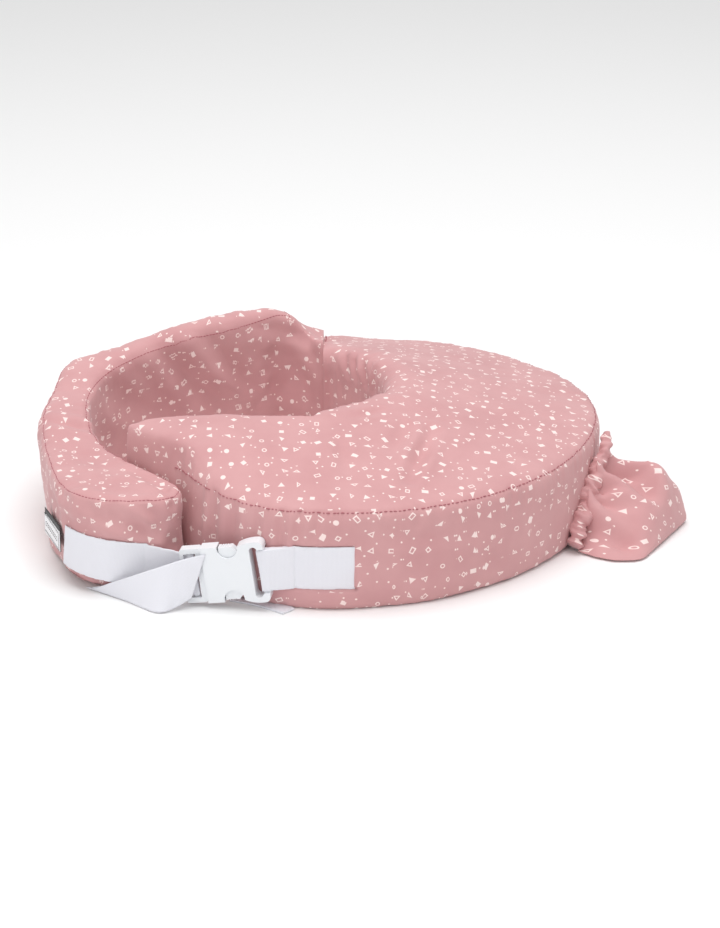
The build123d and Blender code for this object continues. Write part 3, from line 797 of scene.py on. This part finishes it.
class PILLOW_OT_table(bpy.types.Operator):
    """Build the table: a crowned foam ring in printed cotton with a tall outer band"""

    bl_idname = "pillow.table"
    bl_label = "Table cushion"

    def execute(self, context):
        sizes = context.scene.pillow_sizes
        table = soft_copy("table_cushion", "foam_table", sizes.table_voxel, sizes.cover_ease, -FOLD_END)
        lines = table_lines()
        relax_along(table, lines["rim"], False, 1.5, 0.018, 90)
        subdivide_smooth(table)
        points, normals = read_points(table)
        upright = 1 - np.clip(np.abs(normals[:, 2]) * 1.6, 0, 1)
        height = np.clip(points[:, 2] / BAND_HEIGHT, 0, 1)
        outside = np.hypot(points[:, 0] - WAIST.x, points[:, 1] - WAIST.y) > 0.14
        moved = sizes.band_bulge * np.sin(np.pi * height) * upright * outside * fold_fade(points)
        free = np.clip(points[:, 2] / 0.01, 0, 1) * fold_fade(points)
        moved += 0.0011 * fractal(points, 0.07, 1) * free + 0.00045 * fractal(points, 0.022, 2) * free
        write_points(table, points + normals * moved[:, None])
        seam_pull(table, lines["seam"], False, sizes.seam_depth, sizes.pucker, 3)
        seam_pull(table, lines["rim"], False, 0.0003, 0.0011, 6, side_fall=0.03, top_fall=0.012, snap=0)
        press_strokes(table, TABLE_FOLDS)
        swell(table, TABLE_SWELLS)
        puff_out(table, NEAR_ARM_PUFF)
        keep_waist_clear(table)
        relax_round(table, (-0.200, -0.100, 0.085), (0.042, 0.034, 0.060), 1.5, 60)
        tuck_under(table, ["strap_short"])
        flatten_at_fold(table)
        cut_at_fold(table, FOLD_X - 0.35 * MM, 1)
        set_cloth_uv(table, lines["outline"])
        dress(table, cotton_material())
        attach(table, "table")
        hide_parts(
            "foam_table", "table_top_panel", "table_outer_band", "waist_band", "table_bottom_panel",
            "arm_end_panel", "far_arm_end_panel",
        )
        stitches = stitch_row("table_seam_stitches", lines["seam"], table)
        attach(stitches, "table")
        return {"FINISHED"}


def table_lines():
    """The table's outer top seam, waist rim and plan outline, from its foam."""
    grow = 0.0012
    outer, rim = [], []
    for point in edge_loops("foam_table", top_edge)[0]:
        spoke = Vector((point.x, point.y, 0)) - WAIST
        spot = point + spoke.normalized() * grow + Vector((0, 0, grow))
        (outer if spoke.length > 0.155 or point.x > 0.1 else rim).append(spot)
    return {
        "seam": order_by_turn(outer, WAIST, -2.35, 1.6),
        "rim": order_by_turn(rim, WAIST, -2.9, 1.7),
        "outline": edge_loops("foam_table", bottom_edge)[0],
    }


def order_by_turn(points, centre, low, high):
    """Points in order of their bearing from a centre, between two bearings in radians."""
    turned = sorted((math.atan2(p.y - centre.y, p.x - centre.x), p) for p in points)
    return [p for angle, p in turned if low < angle < high]


def fold_fade(points):
    """0 at the fold line, 1 away from it, so that the two cushions meet there."""
    near_fold = np.clip(np.abs(points[:, 0] - FOLD_X) / 0.03, 0, 1)
    return np.where(points[:, 1] > 0.1, near_fold, 1.0)


# creases pressed into the cloth: start, end, half width, depth; millimetres
TABLE_FOLDS = [
    ((63, -82, 114), (40, -170, 101), 6.2, 4.2),
    ((42, -92, 115), (25, -130, 109), 6.2, 2.8),
    ((-21, -141, 110), (-16, -164, 105), 6.2, 2.3),
    ((18, -77, 121), (-8, -100, 118), 5.0, 1.9),
    ((5, -221, 70), (96, -189, 61), 8.8, 1.7),
    ((22, -218, 38), (150, -145, 20), 10.0, 1.7),
    ((-69, -215, 89), (-72, -216, 55), 4.4, 2.3),
    ((-55, -218, 88), (-58, -219, 60), 3.8, 1.9),
    ((-40, -221, 88), (-42, -221, 62), 3.8, 1.7),
    ((-112, -198, 84), (-114, -198, 30), 5.0, 2.7),
    ((-130, -187, 86), (-134, -186, 30), 5.0, 3.0),
    ((-90, -209, 85), (-93, -209, 62), 3.8, 1.9),
    ((49, -204, 91), (47, -208, 74), 3.8, 1.5),
    ((130, -160, 86), (128, -162, 62), 3.8, 1.3),
    ((-11, 112, 116), (-6, 101, 98), 3.8, 3.4),
    ((-1, 97, 116), (4, 86, 96), 3.8, 3.4),
    ((11, 74, 116), (11, 71, 92), 3.8, 2.3),
    ((-18, 120, 116), (-14, 111, 98), 3.8, 3.0),
    ((-32, 130, 112), (-30, 128, 40), 5.0, 2.3),
]
BACK_FOLDS = [
    ((-196, 104, 124), (-138, 131, 52), 11, 5.5),
    ((-176, 112, 126), (-118, 137, 62), 9, -2.6),
    ((-150, 125, 128), (-110, 140, 74), 8, 3.6),
    ((-246, 60, 100), (-180, 113, 52), 14, 5.0),
    ((-226, 82, 120), (-196, 101, 84), 8, 3.0),
    ((-112, 142, 131), (-60, 159, 124), 8, 3.6),
    ((-80, 152, 108), (-52, 158, 60), 10, 2.2),
    ((-58, 158, 126), (-42, 151, 92), 8, 3.0),
    ((-100, 148, 100), (-88, 152, 50), 9, -1.6),
    ((-280, -118, 66), (-237, -188, 64), 8, 3.4),
    ((-268, -155, 87), (-218, -192, 70), 6, 3.0),
    ((-248, -180, 88), (-196, -194, 64), 6, 2.6),
    ((-225, -190, 88), (-182, -192, 58), 5, 2.4),
    ((-188, -191, 87), (-168, -184, 46), 5, 2.8),
    ((-176, -168, 93), (-168, -184, 84), 4, 3.0),
    ((-240, -190, 60), (-200, -194, 40), 6, 1.8),
    ((-290, -25, 98), (-245, -42, 97), 6, 3.4),
    ((-278, -57, 95), (-222, -128, 93), 9, 2.0),
    ((-262, -36, 99), (-234, -96, 94), 7, 1.6),
    ((-208, -125, 94), (-176, -160, 93), 6, 2.4),
    ((-294, 30, 80), (-290, -40, 60), 9, 2.0),
]
# places where the cover is let out or drawn in: centre, reach, height; millimetres
TABLE_SWELLS = [
    ((214, 90, 84), 75, 3.6),
    ((222, 0, 84), 60, 2.6),
    ((150, 180, 90), 60, 2.0),
    ((10, 215, 122), 50, -2.6),
    ((-30, -222, 10), 40, 3.0),
    ((50, -216, 10), 40, 2.4),
]
# the backrest's top edge, highest before its end and lower at the fold
CREST_PUFF = [
    ((-265, 74, 120), 26, 30, (-1, 0, 2)),
    ((-234, 96, 126), 26, 30, (0, 0, 3)),
    ((-197, 118, 131), 26, 30, (0, 0, 5)),
    ((-158, 136, 137), 26, 30, (0, 0, 6)),
    ((-125, 150, 141), 26, 30, (0, 0, 5.5)),
    ((-96, 158, 141), 22, 28, (0, 0, 3)),
    ((-68, 165, 137), 16, 24, (0, 0, -3)),
    ((-46, 164, 125), 20, 28, (0, 0, -7)),
]
# the near arm stands up plump against the backrest
NEAR_ARM_PUFF = [
    ((-206, -97, 98), 34, 34, (-10, 8, 19)),
    ((-190, -98, 101), 44, 36, (-4, 17, 23)),
    ((-165, -104, 104), 50, 38, (0, 23, 25)),
    ((-140, -108, 107), 50, 38, (0, 26, 23)),
    ((-119, -112, 110), 50, 38, (0, 28, 20)),
    ((-95, -112, 112), 50, 38, (0, 29, 16)),
    ((-74, -112, 114), 50, 38, (0, 29, 12)),
    ((-55, -105, 117), 48, 38, (0, 28, 9)),
    ((-38, -98, 118), 46, 38, (0, 28, 6)),
    ((-20, -90, 121), 42, 38, (0, 27, 4)),
    ((-5, -75, 123), 38, 36, (0, 22, 2)),
    ((8, -53, 124), 32, 34, (-2, 14, 1)),
]
BACK_SWELLS = [
    ((-297, -25, 85), 45, 5.0),
    ((-285, 75, 112), 32, 5.0),
    ((-232, 118, 128), 36, 3.5),
    ((-185, 145, 134), 36, 5.0),
    ((-140, 162, 139), 36, 5.5),
    ((-95, 176, 143), 32, 4.0),
    ((-42, 178, 143), 26, -7.0),
    ((-262, -165, 4), 26, -6.5),
    ((-232, -192, 4), 26, -6.0),
    ((-284, -130, 4), 24, -5.0),
    ((-200, -196, 4), 22, -4.0),
]


class PILLOW_OT_backrest(bpy.types.Operator):
    """Build the backrest: a tall foam crescent in printed cotton, sewn along its top edges"""

    bl_idname = "pillow.backrest"
    bl_label = "Backrest cushion"

    def execute(self, context):
        sizes = context.scene.pillow_sizes
        back = soft_copy("backrest_cushion", "foam_backrest", sizes.back_voxel, sizes.cover_ease, FOLD_END)
        seam = [point + Vector((0, 0, MM)) for point in edge_loops("foam_backrest", top_edge)[0]]
        relax_along(back, seam, True, 1.4, 0.008, 5)
        relax_round(back, plan(-46, 190, 138), 0.034, 1.7, 60)
        subdivide_smooth(back)
        points, normals = read_points(back)
        free = np.clip(points[:, 2] / 0.012, 0, 1) * fold_fade(points)
        moved = 0.0016 * fractal(points, 0.06, 4) * free + 0.0007 * fractal(points, 0.02, 5) * free
        write_points(back, points + normals * moved[:, None])
        seam_pull(back, seam, True, 0.0010, 0.0007, 9, snap=0)
        press_strokes(back, BACK_FOLDS)
        swell(back, BACK_SWELLS)
        puff_out(back, CREST_PUFF)
        tuck_under(back, ["strap_long", "label_face", "label_backing", "zip_tapes"])
        flatten_at_fold(back)
        cut_at_fold(back, FOLD_X - 0.45 * MM, -1)
        set_cloth_uv(back, edge_loops("foam_backrest", bottom_edge)[0])
        dress(back, cotton_material())
        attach(back, "backrest")
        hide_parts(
            "foam_backrest", "backrest_top_panel", "backrest_outer_panel", "backrest_inner_panel",
            "backrest_bottom_panel", "lap_panel", "backrest_hinge_panel",
        )
        start = max(range(len(seam)), key=lambda i: seam[i].x + seam[i].y)
        sewn = [p for p in seam[start:] + seam[:start] if p.x < FOLD_X - 0.004 or p.y < 0.1]
        stitches = stitch_row("backrest_seam_line", sewn, back, length=3.0, gap=0.4, radius=0.42, sink=0.35)
        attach(stitches, "backrest")
        fold_cloth()
        return {"FINISHED"}


def fold_cloth():
    """The strip of cover outside the fold."""
    low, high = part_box("fold_strip")
    trees = []
    for name in ("table_cushion", "backrest_cushion"):
        mesh = bpy.data.objects[name].data
        trees.append(BVHTree.FromPolygons([v.co for v in mesh.vertices], [p.vertices for p in mesh.polygons]))
    columns, levels = 30, 28
    vertices = []
    for i in range(columns + 1):
        x = low.x - 0.012 + (high.x - low.x + 0.022) * i / columns
        for j in range(levels + 1):
            z = low.z + (high.z - low.z) * j / levels
            hits = [tree.ray_cast(Vector((x, 0.3, z)), Vector((0, -1, 0)))[0] for tree in trees]
            y = max(hit.y for hit in hits if hit is not None)
            vertices.append(Vector((x, y + 0.0007, z)))
    strip = new_object("fold_cloth", vertices, grid_faces(columns, levels))
    smooth_by_weight(strip, np.ones(len(vertices)), 6)
    face_outwards(strip)
    flat_uv(strip, (1, 0, 0))
    apply_modifier(strip, "SOLIDIFY", thickness=0.0009, offset=0)
    dress(strip, cotton_material())
    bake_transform(strip)
    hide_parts("fold_strip")


# ------------------------------------------------------------------ straps
def grid_faces(columns, levels):
    """Quads of a sheet whose points run up one column after another."""
    corners = [i * (levels + 1) + j for i in range(columns) for j in range(levels)]
    return [(at, at + 1, at + levels + 2, at + levels + 1) for at in corners]


def loft_between(first, second, across):
    """Vertices and quads of a sheet between two lines with as many points each."""
    vertices = [a.lerp(b, k / across) for a, b in zip(first, second) for k in range(across + 1)]
    return vertices, grid_faces(len(first) - 1, across)


def row(*points):
    return [Vector(p) * MM for p in points]


def build_tail():
    """The strap's free end: down from the adjuster, folded on the floor, and back under the pillow."""
    upper = smooth_line(
        row((-137, -219.5, 52), (-155, -219, 47.5), (-180, -217, 38), (-215, -201, 19), (-237, -184, 4)), 61
    )
    lower = smooth_line(
        row((-150, -220.5, 11), (-166, -225.5, 3), (-181, -229, 1.2), (-208, -205, 1.0), (-246, -176, 1.0)), 61
    )
    vertices, faces = loft_between(upper, lower, 24)
    base = len(vertices)
    under_start = smooth_line(row((-118, -204, 0.9), (-103, -210, 0.9), (-88, -218, 0.9), (-70, -232, 1.2)), 31)
    under_end = smooth_line(row((-109, -200, 0.9), (-92, -201, 0.9), (-72, -206, 0.9), (-60, -222, 1.2)), 31)
    more, quads = loft_between(under_start, under_end, 18)
    vertices += more
    faces += [tuple(base + k for k in quad) for quad in quads]
    tail = new_object("tail_webbing", vertices, faces)
    face_outwards(tail)
    flat_uv(tail, (1, -0.3, 0.35), (-0.35, 0, 1))
    points, normals = read_points(tail)
    wave = 0.0006 * fractal(points, 0.02, 14, 1) * (points[:, 2] > 0.004)
    write_points(tail, points + normals * wave[:, None])
    apply_modifier(tail, "SOLIDIFY", thickness=0.0013, offset=0)
    dress(tail, webbing_material())
    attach(tail, "strap_tail")
    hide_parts("strap_tail")


class PILLOW_OT_straps(bpy.types.Operator):
    """Build the webbing: the two sewn lengths and the folded free end"""

    bl_idname = "pillow.straps"
    bl_label = "Webbing"

    def execute(self, context):
        for name, node, body, along in (
            ("short_webbing", "strap_short", "table", (1, 0, 0)),
            ("long_webbing", "strap_long", "backrest", (0.9, -0.3, -0.1)),
        ):
            piece = soft_copy(name, node, 0.0008)
            smooth_by_weight(piece, np.ones(len(piece.data.vertices)), 3)
            points, normals = read_points(piece)
            wave = 0.0004 * fractal(points, 0.012, 12, 1)
            write_points(piece, points + normals * wave[:, None])
            flat_uv(piece, along)
            dress(piece, webbing_material())
            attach(piece, body)
            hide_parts(node)
        build_tail()
        return {"FINISHED"}


class PILLOW_OT_buckle(bpy.types.Operator):
    """Finish the side-release buckle's moulded halves"""

    bl_idname = "pillow.buckle"
    bl_label = "Buckle"

    def execute(self, context):
        give_finish(("buckle_female", "buckle_male", "prong_upper", "prong_lower"), plastic_material())
        return {"FINISHED"}


class PILLOW_OT_label(bpy.types.Operator):
    """Build the woven label with its dark backing, whose near-black also paints the shade in the gap behind the
    label
    """

    bl_idname = "pillow.label"
    bl_label = "Label"

    def execute(self, context):
        outline = edge_loops("foam_backrest", bottom_edge)[0]
        samples, _ = line_samples([(p[0], p[1], 0) for p in outline], 0.001, closed=True)
        near_end, far_end = -0.158, -0.108  # the label's ends along the backrest
        span = [k for k, (x, y, _) in enumerate(samples) if x < -0.25 and near_end < y < far_end]
        # the backing is near black and stands taller than the face: the label's black back, and painted shade in
        # the gap above the label
        for name, node, low, high, off, material, slot in (
            ("label_front", "label_face", 28.0, 47.5, 2.6, label_material(), "label_cloth"),
            ("label_back", "label_backing", 27.5, 52.5, 1.9, label_back_and_gap_shade_material(), "black_cloth"),
        ):
            first, second = [], []
            for k in span:
                ahead = samples[(k + 1) % len(samples)] - samples[k - 1]
                out = Vector((ahead[1], -ahead[0], 0)).normalized()
                if out.x > 0:
                    out.negate()
                share = (samples[k][1] - near_end) / (far_end - near_end)
                place = Vector(samples[k]) + out * (off * MM + 0.0012 + 0.0035 * share**2)
                lift = Vector((0, 0, -0.002 * share))
                first.append(place + Vector((0, 0, low * MM)) + lift)
                second.append(place + Vector((0, 0, high * MM)) + lift)
            vertices, faces = loft_between(first, second, 12)
            label = new_object(name, vertices, faces)
            face_outwards(label)
            flat_uv(label, (0, 1, 0))
            apply_modifier(label, "SOLIDIFY", thickness=0.0005)
            dress(label, material)
            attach(label, "backrest")
            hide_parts(node)
        return {"FINISHED"}


def label_material():
    """White woven satin with a double dark border and a row of rings."""
    material, tree, shader = start_material("label_weave", 0.55, 0.2, (0.9, 0.9, 0.9))
    if tree is None:
        return material
    parts = split(tree, uv_place(tree))
    u = value(tree, "MULTIPLY", value(tree, "ADD", parts[0], 0.133), 1000)
    v = value(tree, "MULTIPLY", value(tree, "SUBTRACT", parts[1], 0.0368), 1000)
    past_side = value(tree, "SUBTRACT", value(tree, "ABSOLUTE", u), 25.0)
    edge = value(tree, "MAXIMUM", past_side, value(tree, "SUBTRACT", value(tree, "ABSOLUTE", v), 9.6))
    first = value(tree, "LESS_THAN", value(tree, "ABSOLUTE", value(tree, "ADD", edge, 1.1)), 0.42)
    second = value(tree, "LESS_THAN", value(tree, "ABSOLUTE", value(tree, "ADD", edge, 2.4)), 0.22)
    step = value(tree, "SUBTRACT", value(tree, "PINGPONG", value(tree, "ADD", u, 40), 4.2), 2.1)
    away = far_from_middle(tree, step, v)
    ring = value(tree, "LESS_THAN", value(tree, "ABSOLUTE", value(tree, "SUBTRACT", away, 2.0)), 0.4)
    ring = value(tree, "MULTIPLY", ring, value(tree, "LESS_THAN", value(tree, "ABSOLUTE", u), 19))
    ink = value(tree, "MAXIMUM", value(tree, "MAXIMUM", first, second), ring)
    tree.links.new(mix_colour(tree, (0.88, 0.88, 0.9), (0.03, 0.03, 0.035), ink), shader.inputs["Base Color"])
    place = object_place(tree)
    add_bump(tree, shader, noise_value(tree, place, 2200, 1), 0.0002, 0.3)
    return material


def label_back_and_gap_shade_material():
    """Near-black cloth behind the label: its black woven back, and painted shade for the gap between the label
    and the cover.
    """
    material, tree, shader = start_material("black_back_and_painted_gap_shade", 0.8, 0.2, (0.02, 0.02, 0.02))
    if tree is None:
        return material
    place = object_place(tree)
    weave = noise_value(tree, place, 1800, 1)
    woven = mix_colour(tree, (0.012, 0.012, 0.014), (0.035, 0.033, 0.035), weave)
    tree.links.new(woven, shader.inputs["Base Color"])
    add_bump(tree, shader, weave, 0.0002, 0.4)
    return material


# ------------------------------------------------------------------ pocket
def plan(x, y, z=0.0):
    """A point given in the pattern's own millimetres, measured from the fold and the nearest edge."""
    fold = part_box("fold_strip")[0].x
    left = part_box("fold_strip")[1].y
    return Vector((fold + (x + 7.6) * MM, left + (y - 264.4) * MM, z * MM))


def smooth_line(points, count):
    """A smooth curve through points, as evenly spaced steps of its parameter."""
    points = [Vector(p) for p in points]
    ends = [points[0] * 2 - points[1], *points, points[-1] * 2 - points[-2]]
    out = []
    spans = len(points) - 1
    for step in range(count):
        t = step / (count - 1) * spans
        i = min(int(t), spans - 1)
        t -= i
        a, b, c, d = ends[i : i + 4]
        out.append(
            0.5 * (2 * b + (c - a) * t + (2 * a - 5 * b + 4 * c - d) * t * t + (3 * b - a - 3 * c + d) * t**3)
        )
    return out


class PILLOW_OT_pocket(bpy.types.Operator):
    """Build the side pocket: a gathered hem, its binding and the pouch that flops outwards"""

    bl_idname = "pillow.pocket"
    bl_label = "Pocket"

    def execute(self, context):
        low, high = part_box("hem_elastic")
        run = high - low
        sway = Vector((run.y, -run.x, 0)).normalized()
        line = []
        for step in range(121):
            t = step / 120
            aside = 0.0012 * math.sin(9 * t + 0.5) + 0.0008 * math.sin(23 * t) - 0.003 * t**3
            line.append(low + run * t + sway * aside)

        def gathered(length, turn):
            twist = length / 0.0052 + 0.5 * math.sin(turn + length / 0.02)
            folds = noise.noise(Vector((twist, math.cos(turn) * 0.7, math.sin(turn) * 0.7)))
            slim = 1 - 0.45 * max(0.0, length / run.length - 0.55) / 0.45
            return (0.0080 + 0.0052 * folds) * slim

        hem = tube_along("pocket_hem_tube", line, gathered, 40)
        flat_uv(hem, run, (0.3, -0.5, 0.8))
        dress(hem, cotton_material())
        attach(hem, "table")
        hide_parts("pocket_hem", "hem_elastic")

        vertices, faces = pouch_shell()
        pouch = new_object("pocket_pouch_cloth", vertices, faces)
        face_outwards(pouch)
        apply_modifier(pouch, "REMESH", mode="VOXEL", voxel_size=0.0024)
        smooth_by_weight(pouch, np.ones(len(pouch.data.vertices)), 3)
        subdivide_smooth(pouch)
        flat_uv(pouch, (0.7, 0.7, 0), (-0.25, 0.5, 0.8))
        dress(pouch, cotton_material())
        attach(pouch, "pocket")
        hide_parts("pocket_pouch")

        binding = soft_copy("pocket_binding_tape", "pocket_binding", 0.0007)
        flat_uv(binding, run)
        dress(binding, webbing_material("binding_weave", context.scene.pillow_colours.binding, 0.0009))
        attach(binding, "table")
        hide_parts("pocket_binding")
        return {"FINISHED"}


def pouch_shell(columns=61, around=96, over=0.66, peak=0.80):
    """The pouch as rings from the hem to its tip: a folded upper cloth and a flat lower one."""
    near_edge = smooth_line([plan(226, -71), plan(241, -84), plan(262, -93), plan(284, -92)], columns)
    far_edge = smooth_line([plan(258, 12), plan(290, 15), plan(319, 16), plan(336, 4)], columns)
    crest = [70, 52, 50, 50, 50, 48, 45, 37, 12]  # height of the upper cloth from the hem to the tip
    vertices, faces = [], []
    for j in range(columns):
        v = j / (columns - 1)
        top = np.interp(v * (len(crest) - 1), range(len(crest)), crest) * MM
        for i in range(around):
            turn = i / around
            upper = turn < over
            u = turn / over if upper else 1 - (turn - over) / (1 - over)
            spot = near_edge[j].lerp(far_edge[j], u**0.9)
            if upper:
                if u < peak:
                    rise = math.sin(u / peak * math.pi / 2) ** 1.15
                else:
                    rise = math.cos((u - peak) / (1 - peak) * math.pi / 2) ** 0.7
                gather = noise.noise(Vector((u * 13, v * 0.8, 1.3)))
                wide = noise.noise(Vector((u * 5 + v * 1.2, v * 1.6, 4.1)))
                fold = 0.018 * gather * math.exp(-v * 1.8) + 0.034 * wide * (0.5 + v) * (1 - v**3)
                height = max(0.0018, top * rise + fold * min(1, rise * 2.5) + 0.002)
            else:
                height = 0.0008
            vertices.append(spot + Vector((0, 0, height)))
    for j in range(columns - 1):
        for i in range(around):
            a, b = j * around + i, j * around + (i + 1) % around
            faces.append((a, b, b + around, a + around))
    faces.append(list(reversed(range(around))))
    faces.append([(columns - 1) * around + k for k in range(around)])
    return vertices, faces


class PILLOW_OT_zip(bpy.types.Operator):
    """Finish the cover's zip on the rear face"""

    bl_idname = "pillow.zip"
    bl_label = "Zip"

    def execute(self, context):
        give_finish(("zip_bottom_stop", "zip_top_stop", "zip_slider", "zip_pull"), metal_material())
        give_finish(("zip_tapes", "zip_coil"), webbing_material("zip_tape_weave", (0.66, 0.34, 0.35), 0.0008))
        return {"FINISHED"}


# ------------------------------------------------------------------ stage
class PILLOW_OT_stage(bpy.types.Operator):
    """Set the floor, lights and camera"""

    bl_idname = "pillow.stage"
    bl_label = "Stage"

    def execute(self, context):
        reach = 30
        corners = [(-reach, -reach, 0), (reach, -reach, 0), (reach, reach, 0), (-reach, reach, 0)]
        floor = new_object("floor", corners, [(0, 1, 2, 3)])
        floor.data.materials.append(start_material("pale_floor", 0.9, 0.0, (0.93, 0.93, 0.93))[0])
        world = bpy.data.worlds.new("studio")
        context.scene.world = world
        world.use_nodes = True
        backdrop = world.node_tree.nodes["Background"]
        backdrop.inputs["Color"].default_value = (1, 1, 1, 1)
        backdrop.inputs["Strength"].default_value = 0.62
        for name, place, target, size, power in (
            ("key", (0.1, -1.1, 2.2), (0, 0, 0), 1.6, 7),
            ("fill", (-1.2, -2.0, 1.2), (0, 0, 0.05), 1.6, 7),
            ("top", (0.0, 0.0, 2.6), (0, 0, 0), 1.8, 36),
        ):
            light = bpy.data.lights.new(name, "AREA")
            light.size = size
            light.energy = power
            lamp = bpy.data.objects.new(name, light)
            context.scene.collection.objects.link(lamp)
            lamp.location = place
            lamp.rotation_euler = (Vector(target) - Vector(place)).to_track_quat("-Z", "Y").to_euler()
        camera = bpy.data.objects.new("camera", bpy.data.cameras.new("camera"))
        context.scene.collection.objects.link(camera)
        aim, distance, tilt = plan(28, 0, 60), 2.6, math.radians(22)
        camera.location = aim + Vector((0, -math.cos(tilt), math.sin(tilt))) * distance
        camera.rotation_euler = (math.radians(90) - tilt, 0, 0)
        camera.data.sensor_fit = "VERTICAL"
        camera.data.sensor_height = 36
        camera.data.lens = 108.466  # a long lens, so that near and far parts keep their proportions
        camera.data.clip_end = 100
        context.scene.camera = camera
        context.scene.view_settings.view_transform = "Standard"
        return {"FINISHED"}


STEPS = (
    PILLOW_OT_table, PILLOW_OT_backrest, PILLOW_OT_straps, PILLOW_OT_buckle, PILLOW_OT_label,
    PILLOW_OT_pocket, PILLOW_OT_zip, PILLOW_OT_stage,
)


class PILLOW_PT_panel(bpy.types.Panel):
    """Lists the pillow's building steps"""

    bl_idname = "PILLOW_PT_panel"
    bl_label = "Nursing pillow"
    bl_space_type = "VIEW_3D"
    bl_region_type = "UI"
    bl_category = "Pillow"

    def draw(self, context):
        for group in (context.scene.pillow_sizes, context.scene.pillow_colours):
            for prop in group.bl_rna.properties:
                if prop.identifier not in ("rna_type", "name"):
                    self.layout.prop(group, prop.identifier)
        for step in STEPS:
            self.layout.operator(step.bl_idname)


CLASSES = (CushionSizes, ClothColours, *STEPS, PILLOW_PT_panel)


def register():
    for cls in CLASSES:
        bpy.utils.register_class(cls)
    bpy.types.Scene.pillow_sizes = bpy.props.PointerProperty(type=CushionSizes)
    bpy.types.Scene.pillow_colours = bpy.props.PointerProperty(type=ClothColours)


def unregister():
    del bpy.types.Scene.pillow_colours
    del bpy.types.Scene.pillow_sizes
    for cls in reversed(CLASSES):
        bpy.utils.unregister_class(cls)


def main():
    register()
    for step in STEPS:
        getattr(bpy.ops.pillow, step.bl_idname.split(".")[1])()


if __name__ == "__main__":
    main()
